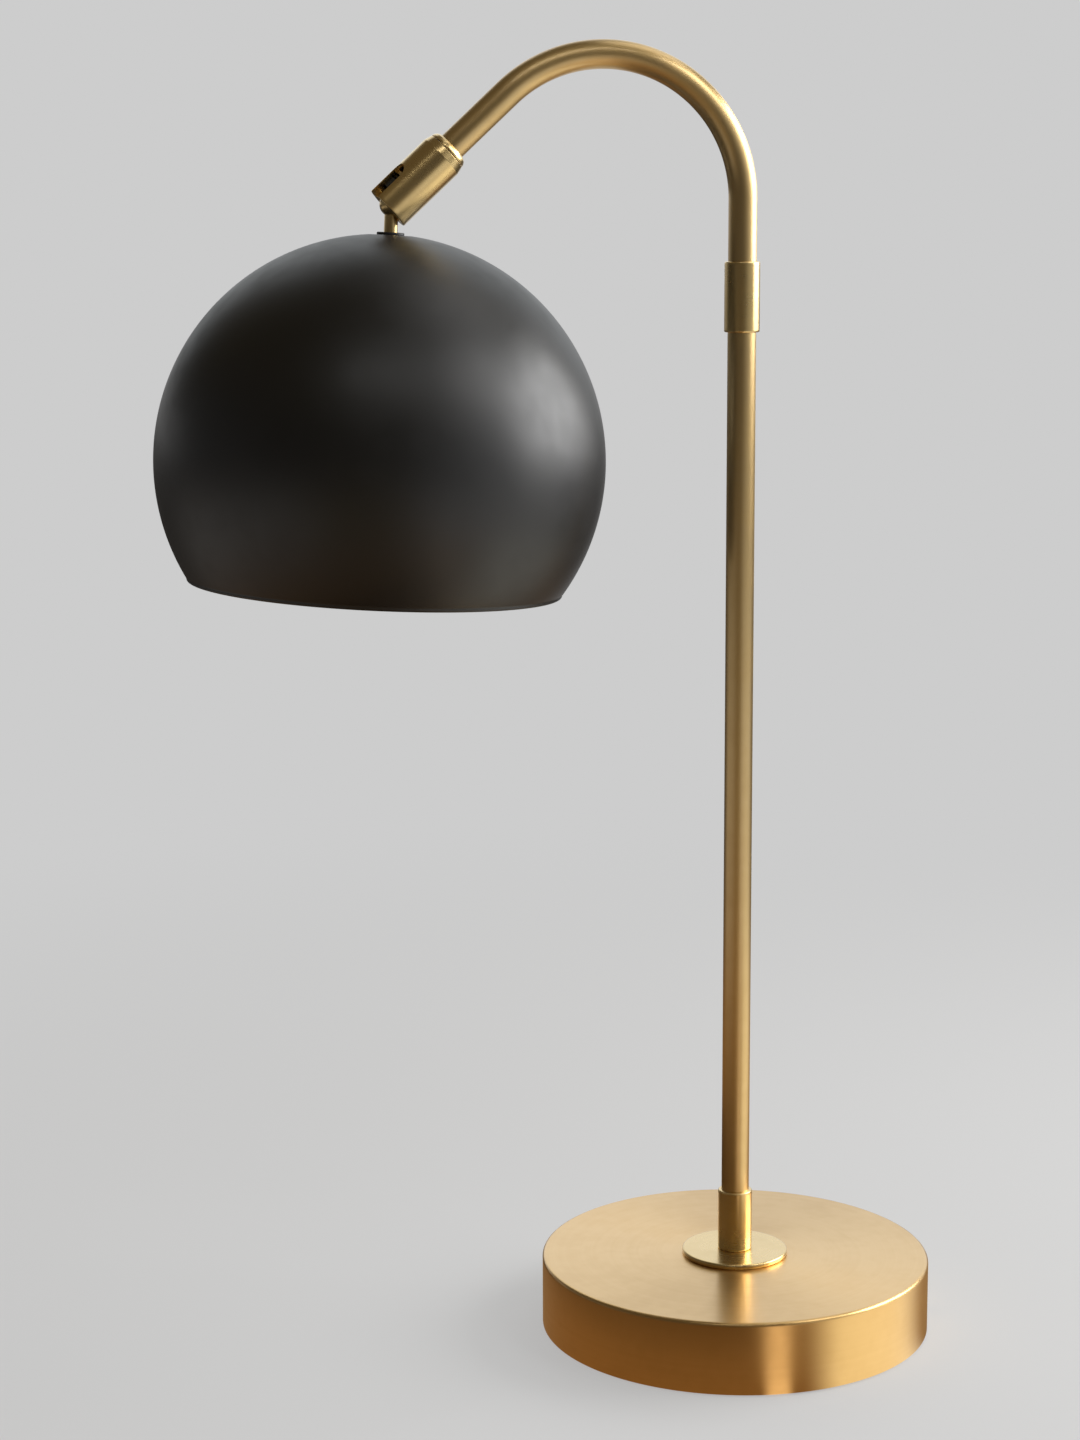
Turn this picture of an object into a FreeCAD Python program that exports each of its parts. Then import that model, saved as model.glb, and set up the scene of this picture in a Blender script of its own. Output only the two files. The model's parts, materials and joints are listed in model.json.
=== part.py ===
import FreeCAD, Part
import math
import os

# Dome shade desk lamp: a heavy brass disc base, a brass stem whose upper arm turns in a sleeve and
# curves over, and a black dome shade that hangs from a ball swivel in a slotted barrel.
# Millimetres. The origin is the centre of the foot, +Z is up, and the arm reaches towards -X.

V = FreeCAD.Vector
ORIGIN = V(0, 0, 0)
UP = V(0, 0, 1)
ACROSS = V(0, 1, 0)

FIT = 0.05            # radial gap of a running or sliding fit
SLACK = 0.2           # gap of a loose fit
GAP = 0.3             # gap between pieces that move past each other

# --- base ---------------------------------------------------------------------------------------
BASE_R = 90.0
BASE_TOP = 34.0
BASE_EDGE = 1.6       # rounding of the cover's top edge
COVER_WALL = 1.5
COVER_LIFT = 0.8      # the cover's lower edge stands this far off the table
PAD_R, PAD_T, PAD_EDGE = 86.0, 2.0, 0.5
PLATE_T = 1.5
WEIGHT_R = 88.2
WEIGHT_T = 18.0
SCREW_CIRCLE_R = 70.0
SCREW_COUNT = 3
BOSS_R = 6.0
SCREW_R, SCREW_HEAD_R, SCREW_LENGTH = 2.0, 3.9, 8.0
RECESS_R = 17.0       # pocket in the weight around the nipple's nut
RECESS_TOP = 22.5
OUTLET_Z = 9.0        # height of the cord outlet
OUTLET_R = 4.2
BUSH_LIP_R, BUSH_LIP_T = 5.1, 1.4
BUSH_BORE_R = 3.0
BUSH_EDGE = 0.8

# --- stem ---------------------------------------------------------------------------------------
TUBE_R = 6.35
TUBE_BORE_R = 5.05
FLANGE_R, FLANGE_T, FLANGE_EDGE = 24.5, 2.5, 0.9
SLEEVE_R = 7.9
SLEEVE_EDGE = 0.7
SLEEVE_LENGTH = 31.0
COUPLING_Z = 461.5    # lower end of the sleeve that joins the stem and the arm
NIPPLE_R = 5.0
NIPPLE_BORE_R = 3.2
NIPPLE_BOTTOM, NIPPLE_TOP = 17.0, 61.0
NIPPLE_WASHER_R = 8.5
NUT_T, NUT_FLATS = 4.5, 14.0
WASHER_T = 0.8
SPLIT_Z = COUPLING_Z + 15.3   # top of the fixed stem, half way up the sleeve
PIVOT_R, PIVOT_BORE_R = 4.0, 2.6
INSERT_LENGTH = 21.0
PIVOT_HEAD = 14.0
PIVOT_NUT_T, PIVOT_NUT_R = 5.0, TUBE_BORE_R - SLACK
PIVOT_THREAD_SPARE = 2.0

# --- arm ----------------------------------------------------------------------------------------
BEND_Z = 519.7        # height at which the arm leaves the vertical
BEND_R = 62.0
ARM_TURN = 133.0      # degrees that the bend turns through
ARM_RUN = 33.5        # straight length from the bend to the barrel cap

# --- ball swivel, heights measured from the ball's centre along the barrel ----------------------
BARREL_R = 10.25
BARREL_BORE_R = 8.25
BARREL_TOP = 32.8
BARREL_SHOULDER = 29.5
BARREL_SHOULDER_R = 9.4
WEB_BOTTOM = 26.0
WEB_BORE_R = 5.3
CAP_TOP = 35.8
CAP_EDGE = 0.5
CAP_END_R = 7.6
CAP_SPIGOT = 8.0      # how far the cap reaches into the arm
CAP_SHANK_END = 22.0
BARREL_NUT_END = 22.4
MOUTH_DEPTH = 2.7     # from the ball's centre out to the barrel's mouth
MOUTH_EDGE = 0.6
MOUTH_FLARE_R = 7.7   # the mouth is coned out to here beyond the lip that holds the ball
BALL_R = 5.4
SEAT_R = BALL_R + 0.08
SEAT_TOP = 2.5
LIP_DEPTH = 1.8
LIP_RELIEF = 47.2     # degrees off the barrel's axis that the neck can reach on the stem's side
FUNNEL_R = 3.2
SLOT_WIDTH = 8.0
SLOT_TOP = 14.9
SLOT_TURN = 25.0      # degrees about the barrel that the slot is turned towards the front
CUP_BOTTOM, CUP_TOP = 3.5, 8.2
CUP_BORE_R = 2.5
SPRING_BORE_R = 4.2
SPRING_T = 0.4
SPRING_RISE = 0.7
RING_BOTTOM, RING_TOP = 10.8, 12.4

# --- shade and neck, heights measured from the ball's centre along the neck ---------------------
HEAD_LEAN = 3.3       # degrees that the neck leans out of plumb
NECK_R, NECK_BORE_R = 3.0, 1.9
NECK_END = -23.0
NECK_NUT_T, NECK_NUT_FLATS = 3.2, 10.0
SHADE_R = 99.0
SHADE_WALL = 1.0
SHADE_CENTRE = -111.75
SHADE_CUT = 54.2      # from the sphere's centre down to the rim
SHADE_FLAT_R = 9.0    # flat pressed at the top, round the hole
RIM_ROLL_R = 1.2
SHADE_HOLE_R = NECK_R + FIT
SHADE_WASHER_R, SHADE_WASHER_T = 6.0, 1.2
INNER_WASHER_R = 8.5

# --- lamp holder and bulb, heights as for the shade ---------------------------------------------
HOLDER_R = 19.5
HOLDER_WALL = 1.9
HOLDER_SEAM = -31.0
HOLDER_MOUTH = -60.0
HOLDER_DOME = 9.0     # height of the cap's rounded shoulder
HOLDER_CROWN_R = 9.0  # flat at the top of that shoulder
HOLDER_INNER_CROWN_R = 8.2
HOLDER_LIP = 1.2      # how far the rim at the mouth stands out
HOLDER_LIP_T, HOLDER_LIP_SLOPE = 2.0, 1.0
COLLAR_HEIGHT, COLLAR_WALL = 5.0, 2.0
FLOOR_UP, FLOOR_DOWN = 1.0, 5.0        # the floor's faces, above and below the seam
SHELL_R, SHELL_BORE_R = 14.0, 13.15
SHELL_CROWN = 0.6
SHELL_HOLE_R = 5.0
CONTACT_SIZE = (8.0, 4.0, 0.5)
CONTACT_DROP = 2.6
RIVET_R = 2.2
RIVET_HEAD_T = 1.0
SHELL_PLATE_T = 1.0
THREAD_PITCH = 3.63
THREAD_TURNS = 5
BULB_TIP = -38.65
BULB_CAP_R, BULB_CAP_WALL = 12.5, 0.9
BULB_CAP_TOP = -42.0
BULB_CAP_LENGTH = 18.0
SOLDER_R, SOLDER_EDGE = 4.8, 0.35
PLUG_T = 3.0          # thickness of the insulator at the end of the bulb's cap
BULB_R = 30.0
BULB_CENTRE = -113.0
BULB_NECK_R = 14.0
BULB_FLARE_R = 30.0
GLASS_T = 0.8

# --- leads --------------------------------------------------------------------------------------
LEAD_R = 2.2
HEAD_LEAD_R = 1.5
LEAD_END = 7.0        # the arm's lead stops this far above the ball's centre
HEAD_LEAD_TOP = 5.0
CORE_R = 0.8
LEAD_Z = 8.0          # height of the lead where it lies inside the base
BLOCK_X = 26.0
BLOCK_SIZE = (22.0, 16.0, 9.0)
BLOCK_EDGE = 1.0
BLOCK_SCREW_R = 1.5
BLOCK_SCREW_XS = (BLOCK_X + 8.5, BLOCK_X + 17.0)
TERMINAL_PITCH = 7.0
TERMINAL_X = 9.0
TERMINAL_R, TERMINAL_HEAD_R, TERMINAL_HEAD_T = 1.5, 2.8, 2.0
DRIVE_WIDTH, DRIVE_DEPTH = 0.7, 0.8    # the screw's slot
CORE_SPREAD = 1.0     # from the neck's axis to a core where the cores leave it

# --- places worked out from the dimensions above ------------------------------------------------
PLATE_TOP = PAD_T + PLATE_T
WEIGHT_TOP = BASE_TOP - COVER_WALL
WEIGHT_BOTTOM = WEIGHT_TOP - WEIGHT_T
NUT_TOP = RECESS_TOP - WASHER_T
FLANGE_TOP = BASE_TOP + FLANGE_T
COUPLING_TOP = COUPLING_Z + SLEEVE_LENGTH
ARM_BOTTOM = SPLIT_Z + WASHER_T + GAP
TURN = math.radians(ARM_TURN)
RUN_DIRECTION = V(-math.sin(TURN), 0, math.cos(TURN))
BEND_END = V(-BEND_R + BEND_R * math.cos(TURN), 0, BEND_Z + BEND_R * math.sin(TURN))
BALL = BEND_END + RUN_DIRECTION * (ARM_RUN + CAP_TOP)
BARREL_LEAN = 180.0 - ARM_TURN
SHADE_TOP = SHADE_CENTRE + math.sqrt(SHADE_R ** 2 - SHADE_FLAT_R ** 2)
INNER_TOP = SHADE_TOP - SHADE_WALL
HOLDER_TOP = INNER_TOP - SHADE_WASHER_T


# --- shaping helpers ----------------------------------------------------------------------------
def at(radius, angle, centre_x=0.0, centre_z=0.0):
    """Point of a circle in the XZ plane; the angle is in degrees from +X towards +Z."""
    bearing = math.radians(angle)
    return (centre_x + radius * math.cos(bearing), centre_z + radius * math.sin(bearing))


def leaving_wall(wall_r, wall_z, end_r, end_z):
    """Arc step that leaves an upright wall smoothly and ends at a given point further in."""
    rise, inset = end_z - wall_z, wall_r - end_r
    radius = (rise ** 2 + inset ** 2) / (2 * inset)
    sweep = math.degrees(math.asin(rise / radius))
    return (at(radius, sweep / 2, wall_r - radius, wall_z), (end_r, end_z))


def outline(steps):
    """Closed wire in the XZ plane: (x, z) is a straight run, ((x, z), (x, z)) an arc's middle and end."""
    start = V(steps[0][0], 0, steps[0][1])
    here, edges = start, []
    for step in list(steps[1:]) + [steps[0]]:
        if isinstance(step[0], tuple):
            middle, end = [V(point[0], 0, point[1]) for point in step]
            edges.append(Part.Arc(here, middle, end).toShape())
        else:
            end = V(step[0], 0, step[1])
            edges.append(Part.LineSegment(here, end).toShape())
        here = end
    return Part.Wire(edges)


def turned(*steps):
    """Solid turned about Z from an outline of (radius, height) steps."""
    solid = Part.Face(outline(steps)).revolve(ORIGIN, UP, 360)
    if solid.Volume < 0:
        solid.reverse()
    return solid


def rod(radius, z0, z1, x=0.0, y=0.0):
    return Part.makeCylinder(radius, z1 - z0, V(x, y, z0))


def ring(radius, bore, z0, z1, edge=0.0):
    """Plain ring; its outer edges are rounded where an edge radius is given."""
    if edge == 0:
        return turned((bore, z0), (radius, z0), (radius, z1), (bore, z1))
    low = (at(edge, -45, radius - edge, z0 + edge), (radius, z0 + edge))
    high = (at(edge, 45, radius - edge, z1 - edge), (radius - edge, z1))
    return turned((bore, z0), (radius - edge, z0), low, (radius, z1 - edge), high, (bore, z1))


def rod_between(start, end, radius):
    return Part.makeCylinder(radius, (end - start).Length, start, end - start)


def hex_nut(across_flats, bore, z0, z1):
    corner_r = across_flats / math.sqrt(3)
    corners = [V(*at(corner_r, 60 * i), z0) for i in range(7)]
    prism = Part.Face(Part.makePolygon(corners)).extrude(V(0, 0, z1 - z0))
    return prism.cut(rod(bore, z0, z1))


def joined(*shapes):
    return shapes[0].fuse(list(shapes[1:])).removeSplitter().Solids[0]


def ridged(radius, depth, bore, z0, turns):
    """Screwed shell of thin metal: a ring whose wall swells and shrinks once a turn, going down."""
    steps = [(bore, z0), (radius, z0)]
    for turn in range(turns):
        crest = z0 - (turn + 0.5) * THREAD_PITCH
        steps.append(((radius + depth, crest), (radius, crest - THREAD_PITCH / 2)))
    return turned(*steps, (bore, z0 - turns * THREAD_PITCH))


def placed(shape, lean):
    """Piece drawn about the ball's centre, leant towards +X and set at the ball."""
    moved = shape.copy()
    moved.rotate(ORIGIN, ACROSS, lean)
    moved.translate(BALL)
    return moved


def in_barrel(shape):
    return placed(shape, BARREL_LEAN)


def in_head(shape):
    return placed(shape, HEAD_LEAN)


# --- base ---------------------------------------------------------------------------------------
def base_cover():
    """Spun brass can, open below, with a hole for the nipple and one for the cord outlet."""
    corner = (at(BASE_EDGE, 45, BASE_R - BASE_EDGE, BASE_TOP - BASE_EDGE), (BASE_R - BASE_EDGE, BASE_TOP))
    wall_r = BASE_R - COVER_WALL
    can = turned((wall_r, COVER_LIFT), (BASE_R, COVER_LIFT), (BASE_R, BASE_TOP - BASE_EDGE), corner,
                 (NIPPLE_R + FIT, BASE_TOP), (NIPPLE_R + FIT, WEIGHT_TOP), (wall_r, WEIGHT_TOP))
    hole = Part.makeCylinder(OUTLET_R, 6 * COVER_WALL, V(BASE_R - 4 * COVER_WALL, 0, OUTLET_Z), V(1, 0, 0))
    return can.cut(hole)


def screw_places():
    """Centres of the bottom plate's screws, the first one clear of the cord outlet."""
    return [at(SCREW_CIRCLE_R, 60 + 360.0 * i / SCREW_COUNT) for i in range(SCREW_COUNT)]


def base_weight():
    """Cast disc with a pocket for the nut and three bosses that the bottom plate screws to."""
    disc = rod(WEIGHT_R, WEIGHT_BOTTOM, WEIGHT_TOP)
    bosses = [rod(BOSS_R, PLATE_TOP, WEIGHT_TOP, x, y) for x, y in screw_places()]
    holes = [rod(SCREW_R, PLATE_TOP, PLATE_TOP + SCREW_LENGTH, x, y) for x, y in screw_places()]
    pocket = rod(RECESS_R, WEIGHT_BOTTOM, RECESS_TOP)
    bore = rod(NIPPLE_R + FIT, WEIGHT_BOTTOM, WEIGHT_TOP)
    return joined(disc, *bosses).cut(pocket.fuse([bore] + holes))


def bottom_plate():
    plate = rod(WEIGHT_R, PAD_T, PLATE_TOP)
    return plate.cut(Part.makeCompound([screw(x, y) for x, y in screw_places()]))


def screw(x, y):
    """Countersunk screw whose head is level with the plate's underside."""
    head = Part.makeCone(SCREW_HEAD_R, SCREW_R, PLATE_T, V(x, y, PAD_T))
    return joined(head, rod(SCREW_R, PLATE_TOP, PAD_T + SCREW_LENGTH, x, y))


def plate_screws():
    return Part.makeCompound([screw(x, y) for x, y in screw_places()])


def base_pad():
    return ring(PAD_R, 0, 0, PAD_T, PAD_EDGE)


def cord_bush():
    """Insulating bush in the cover's wall, with a flange on both sides of it."""
    outer_face, inner_face = BASE_R + SLACK, BASE_R - COVER_WALL - SLACK
    outside, inside = outer_face + BUSH_LIP_T, inner_face - BUSH_LIP_T
    waist_r = OUTLET_R - FIT
    bush = turned((BUSH_BORE_R, inside), (BUSH_LIP_R, inside), (BUSH_LIP_R, inner_face),
                  (waist_r, inner_face), (waist_r, outer_face), (BUSH_LIP_R, outer_face),
                  (BUSH_LIP_R, outside - BUSH_EDGE), (BUSH_LIP_R - BUSH_EDGE, outside),
                  (BUSH_BORE_R, outside))
    bush.rotate(ORIGIN, ACROSS, 90)
    bush.translate(V(0, 0, OUTLET_Z))
    return bush


def terminal_block():
    """Connector block on the bottom plate, where the supply cord would meet the inner lead."""
    length, width, height = BLOCK_SIZE
    block = Part.makeBox(length, width, height, V(BLOCK_X, -width / 2, PLATE_TOP))
    top_edges = [edge for edge in block.Edges if min(point.Z for point in edge.Vertexes) > PLATE_TOP]
    lead_bore = rod_between(V(BLOCK_X - 1, 0, LEAD_Z), V(BLOCK_X + 6, 0, LEAD_Z), LEAD_R + SLACK)
    screw_bores = Part.makeCompound(block_screw_list(SLACK / 2))
    return block.makeFillet(BLOCK_EDGE, top_edges).cut(lead_bore).cut(screw_bores)


def block_screw_list(slack=0.0):
    """Screws that press on the lead's cores, from the top of the block."""
    top = PLATE_TOP + BLOCK_SIZE[2]
    places = [(x, side * TERMINAL_PITCH / 2) for x in BLOCK_SCREW_XS for side in (-1, 1)]
    return [rod(BLOCK_SCREW_R + slack, top - 4.0, top - 0.6 + slack, x, y) for x, y in places]


def block_screws():
    return Part.makeCompound(block_screw_list())


# --- stem ---------------------------------------------------------------------------------------
def stem_flange():
    return ring(FLANGE_R, NIPPLE_R + FIT, BASE_TOP, FLANGE_TOP, FLANGE_EDGE)


def sleeve(z0, z1):
    """Outer sleeve of the stem: both ends are eased, so that a fine bright line shows there."""
    return ring(SLEEVE_R, TUBE_R + FIT, z0, z1, SLEEVE_EDGE)


def foot_sleeve():
    return sleeve(FLANGE_TOP, BASE_TOP + SLEEVE_LENGTH)


def coupling_sleeve():
    return sleeve(COUPLING_Z, COUPLING_TOP)


def stem_nipple():
    return ring(NIPPLE_R, NIPPLE_BORE_R, NIPPLE_BOTTOM, NIPPLE_TOP)


def nipple_washer():
    return ring(NIPPLE_WASHER_R, NIPPLE_R + FIT, NUT_TOP, RECESS_TOP)


def nipple_nut():
    return hex_nut(NUT_FLATS, NIPPLE_R, NUT_TOP - NUT_T, NUT_TOP)


def lower_stem():
    return ring(TUBE_R, TUBE_BORE_R, FLANGE_TOP, SPLIT_Z)


def stem_insert():
    """Plug fixed in the stem's upper end, in which the arm's pivot turns."""
    return ring(TUBE_BORE_R, PIVOT_R + FIT, SPLIT_Z - INSERT_LENGTH, SPLIT_Z)


def swivel_washer():
    return ring(TUBE_R - FIT, PIVOT_R + FIT, SPLIT_Z, SPLIT_Z + WASHER_T)


# --- arm ----------------------------------------------------------------------------------------
def arm_rod(radius, z0, run):
    """Round bar along the arm's centreline, from a height up to a length past the bend."""
    disc = Part.Face(Part.Wire(Part.makeCircle(radius, V(0, 0, BEND_Z), UP)))
    bend = disc.revolve(V(-BEND_R, 0, BEND_Z), V(0, -1, 0), ARM_TURN)
    straight = rod_between(BEND_END, BEND_END + RUN_DIRECTION * run, radius)
    return joined(rod(radius, z0, BEND_Z), bend, straight)


def arm_tube():
    return arm_rod(TUBE_R, ARM_BOTTOM, ARM_RUN).cut(arm_rod(TUBE_BORE_R, ARM_BOTTOM, ARM_RUN))


def arm_pivot():
    """Hollow pivot: its head is fixed in the arm, and its shank turns in the stem's insert."""
    shank_bottom = SPLIT_Z - INSERT_LENGTH - PIVOT_NUT_T - PIVOT_THREAD_SPARE
    return turned((PIVOT_BORE_R, shank_bottom), (PIVOT_R, shank_bottom), (PIVOT_R, ARM_BOTTOM),
                  (TUBE_BORE_R, ARM_BOTTOM), (TUBE_BORE_R, ARM_BOTTOM + PIVOT_HEAD),
                  (PIVOT_BORE_R, ARM_BOTTOM + PIVOT_HEAD))


def pivot_spring():
    """Dished washer that keeps the pivot's turning stiff."""
    top = SPLIT_Z - INSERT_LENGTH - GAP
    return ring(PIVOT_NUT_R, PIVOT_R, top - WASHER_T, top)


def pivot_nut():
    top = SPLIT_Z - INSERT_LENGTH - GAP - WASHER_T
    return ring(PIVOT_NUT_R, PIVOT_R, top - PIVOT_NUT_T, top)


def barrel_cap():
    """Cap brazed to the arm: a spigot in the tube, and a screwed neck that the barrel turns on."""
    low, top = BARREL_TOP + GAP, CAP_TOP - CAP_EDGE
    shank_r, rim_r = WEB_BORE_R - FIT, BARREL_SHOULDER_R - FIT
    side = leaving_wall(rim_r, low, CAP_END_R, top)
    return in_barrel(turned((NIPPLE_BORE_R, CAP_SHANK_END), (shank_r, CAP_SHANK_END), (shank_r, low),
                            (rim_r, low), side, (CAP_END_R - CAP_EDGE, CAP_TOP), (TUBE_BORE_R, CAP_TOP),
                            (TUBE_BORE_R, CAP_TOP + CAP_SPIGOT), (NIPPLE_BORE_R, CAP_TOP + CAP_SPIGOT)))


def barrel_nut():
    return in_barrel(ring(BARREL_BORE_R - GAP, WEB_BORE_R - FIT, BARREL_NUT_END, WEB_BOTTOM - GAP))


# --- ball swivel --------------------------------------------------------------------------------
def seat_radius(z):
    """Radius of the ball's seat at a height above or below the ball's centre."""
    return math.sqrt(SEAT_R ** 2 - z ** 2)


def swivel_barrel():
    """Barrel that holds the ball behind its lip; the slot on its outer side lets the neck swing up."""
    mouth = -MOUTH_DEPTH
    corner = (at(MOUTH_EDGE, -45, BARREL_R - MOUTH_EDGE, mouth + MOUTH_EDGE), (BARREL_R, mouth + MOUTH_EDGE))
    shoulder = leaving_wall(BARREL_R, BARREL_SHOULDER, BARREL_SHOULDER_R, BARREL_TOP)
    seat = ((seat_radius(LIP_DEPTH / 2), -LIP_DEPTH / 2), (seat_radius(LIP_DEPTH), -LIP_DEPTH))
    body = turned((BARREL_R - MOUTH_EDGE, mouth), corner, (BARREL_R, BARREL_SHOULDER), shoulder,
                  (WEB_BORE_R, BARREL_TOP), (WEB_BORE_R, WEB_BOTTOM), (BARREL_BORE_R, WEB_BOTTOM),
                  (BARREL_BORE_R, SEAT_TOP), (SEAT_R, SEAT_TOP), (SEAT_R, 0), seat, (MOUTH_FLARE_R, mouth))
    return in_barrel(body.cut(slot().fuse(lip_relief())))


def slot():
    """Round-ended cut through the barrel's outer side, open at the mouth and turned to the front."""
    half, round_z, reach = SLOT_WIDTH / 2, SLOT_TOP - SLOT_WIDTH / 2, 1.5 * BARREL_R
    straight = Part.makeBox(reach, SLOT_WIDTH, round_z + 2 * MOUTH_DEPTH, V(-reach, -half, -2 * MOUTH_DEPTH))
    end = Part.makeCylinder(half, reach, V(-reach, 0, round_z), V(1, 0, 0))
    return straight.fuse(end).rotate(ORIGIN, UP, SLOT_TURN)


def lip_relief():
    """Channel in the lip where the neck lies when the shade hangs down."""
    bearing = math.radians(LIP_RELIEF)
    return rod_between(ORIGIN, V(math.sin(bearing), 0, -math.cos(bearing)) * 2 * BARREL_R, NECK_R + GAP)


def pressure_cup():
    """Plastic cup that presses on the ball."""
    rim_r = seat_radius(CUP_BOTTOM)
    bore_z = seat_radius(CUP_BORE_R)
    middle_z = (bore_z + CUP_BOTTOM) / 2
    return in_barrel(turned((CUP_BORE_R, bore_z), ((seat_radius(middle_z), middle_z), (rim_r, CUP_BOTTOM)),
                            (BARREL_BORE_R - FIT, CUP_BOTTOM), (BARREL_BORE_R - FIT, CUP_TOP),
                            (CUP_BORE_R, CUP_TOP)))


def disc_springs():
    """Two dished washers, back to back, between the cup and the preload ring."""
    inner_r, outer_r = SPRING_BORE_R, BARREL_BORE_R - GAP
    middle = (CUP_TOP + RING_BOTTOM) / 2
    washers = []
    for side in (-1, 1):
        near, far = middle + side * FIT, middle + side * (SPRING_RISE + FIT)
        thick = side * SPRING_T
        washers.append(turned((inner_r, far), (outer_r, near), (outer_r, near + thick),
                              (inner_r, far + thick)))
    return in_barrel(Part.makeCompound(washers))


def preload_ring():
    return in_barrel(ring(BARREL_BORE_R, SPRING_BORE_R, RING_BOTTOM, RING_TOP))


def ball_neck():
    """Ball and hollow neck in one piece; a funnel in the ball leaves the lead room to bend."""
    funnel_z = math.sqrt(BALL_R ** 2 - FUNNEL_R ** 2)
    neck_z = -math.sqrt(BALL_R ** 2 - NECK_R ** 2)
    return in_head(turned((NECK_BORE_R, NECK_END), (NECK_R, NECK_END), (NECK_R, neck_z),
                          ((BALL_R, 0), (FUNNEL_R, funnel_z)), (NECK_BORE_R, 0)))


def neck_nut():
    top = HOLDER_TOP - HOLDER_WALL - GAP
    return in_head(hex_nut(NECK_NUT_FLATS, NECK_R, top - NECK_NUT_T, top))


# --- shade --------------------------------------------------------------------------------------
def shade():
    """Thin spun dome: a sphere cut off below its middle, with a rolled rim and a flat round its hole."""
    inner_r = SHADE_R - SHADE_WALL
    rim_z = SHADE_CENTRE - SHADE_CUT
    inner_flat_r = math.sqrt(inner_r ** 2 - (INNER_TOP - SHADE_CENTRE) ** 2)
    rim_r, inner_rim_r = [math.sqrt(r ** 2 - SHADE_CUT ** 2) for r in (SHADE_R, inner_r)]
    dome = turned((SHADE_HOLE_R, SHADE_TOP), (SHADE_FLAT_R, SHADE_TOP),
                  ((SHADE_R, SHADE_CENTRE), (rim_r, rim_z)), (inner_rim_r, rim_z),
                  ((inner_r, SHADE_CENTRE), (inner_flat_r, INNER_TOP)), (SHADE_HOLE_R, INNER_TOP))
    roll = Part.makeTorus(rim_r - RIM_ROLL_R + 0.1, RIM_ROLL_R, V(0, 0, rim_z), UP)
    return in_head(joined(dome, roll))


def shade_washer():
    return in_head(ring(SHADE_WASHER_R, SHADE_HOLE_R, SHADE_TOP, SHADE_TOP + SHADE_WASHER_T, 0.4))


def inner_washer():
    return in_head(ring(INNER_WASHER_R, SHADE_HOLE_R, HOLDER_TOP, INNER_TOP))


# --- lamp holder --------------------------------------------------------------------------------
def holder_cap():
    """Domed cap of the lamp holder, drawn as a shell that is open below."""
    shoulder_z, inner_r = HOLDER_TOP - HOLDER_DOME, HOLDER_R - HOLDER_WALL
    outside = leaving_wall(HOLDER_R, shoulder_z, HOLDER_CROWN_R, HOLDER_TOP)
    inner_top = HOLDER_TOP - HOLDER_WALL
    middle, end = leaving_wall(inner_r, shoulder_z, HOLDER_INNER_CROWN_R, inner_top)
    inside = (middle, (inner_r, shoulder_z))
    return in_head(turned((SHADE_HOLE_R, inner_top), end, inside, (inner_r, HOLDER_SEAM),
                          (HOLDER_R, HOLDER_SEAM), (HOLDER_R, shoulder_z), outside,
                          (SHADE_HOLE_R, HOLDER_TOP)))


def holder_body():
    """Insulating body: a collar inside the cap, a floor for the terminals and the lamp's skirt."""
    collar_r, collar_top = HOLDER_R - HOLDER_WALL - FIT, HOLDER_SEAM + COLLAR_HEIGHT
    collar_bore_r = collar_r - COLLAR_WALL
    floor_top, floor_bottom = HOLDER_SEAM + FLOOR_UP, HOLDER_SEAM - FLOOR_DOWN
    rim_r, bore_r, hole_r = HOLDER_R + HOLDER_LIP, SHELL_R + 2 * SHELL_CROWN, RIVET_R + SLACK
    rim_top = HOLDER_MOUTH + HOLDER_LIP_T
    body = turned((collar_bore_r, collar_top), (collar_r, collar_top), (collar_r, HOLDER_SEAM),
                  (HOLDER_R, HOLDER_SEAM), (HOLDER_R, rim_top + HOLDER_LIP_SLOPE), (rim_r, rim_top),
                  (rim_r, HOLDER_MOUTH), (bore_r, HOLDER_MOUTH), (bore_r, floor_bottom),
                  (hole_r, floor_bottom), (hole_r, floor_top), (collar_bore_r, floor_top))
    holes = [rod(TERMINAL_R + FIT, floor_bottom, floor_top, x, 0) for x in (-TERMINAL_X, TERMINAL_X)]
    return in_head(body.cut(Part.makeCompound(holes)))


def screw_shell():
    """Threaded metal shell that the bulb screws into, closed above by a plate with a hole."""
    top = HOLDER_SEAM - FLOOR_DOWN
    plate_bottom = top - SHELL_PLATE_T
    wall = ridged(SHELL_R, SHELL_CROWN, SHELL_BORE_R, plate_bottom, THREAD_TURNS)
    plate = ring(SHELL_R, SHELL_HOLE_R, plate_bottom, top)
    return in_head(joined(wall, plate))


def centre_contact():
    """Sprung contact at the bottom of the holder, with the rivet that holds it."""
    length, width, thick = CONTACT_SIZE
    top = HOLDER_SEAM - FLOOR_DOWN
    blade = Part.makeBox(length, width, thick, V(-length / 2, -width / 2, top - CONTACT_DROP))
    return in_head(joined(blade, rod(RIVET_R, top - CONTACT_DROP, top + RIVET_HEAD_T)))


def terminal_screws():
    return in_head(Part.makeCompound([terminal_screw(x) for x in (-TERMINAL_X, TERMINAL_X)]))


def terminal_screw(x):
    floor_top = HOLDER_SEAM + FLOOR_UP
    shank = rod(TERMINAL_R, floor_top - FLOOR_DOWN, floor_top, x, 0)
    head_top = floor_top + TERMINAL_HEAD_T
    head = rod(TERMINAL_HEAD_R, floor_top, head_top, x, 0)
    corner = V(x - TERMINAL_HEAD_R, -DRIVE_WIDTH / 2, head_top - DRIVE_DEPTH)
    drive = Part.makeBox(2 * TERMINAL_HEAD_R, DRIVE_WIDTH, DRIVE_DEPTH, corner)
    return joined(shank, head).cut(drive)


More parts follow.
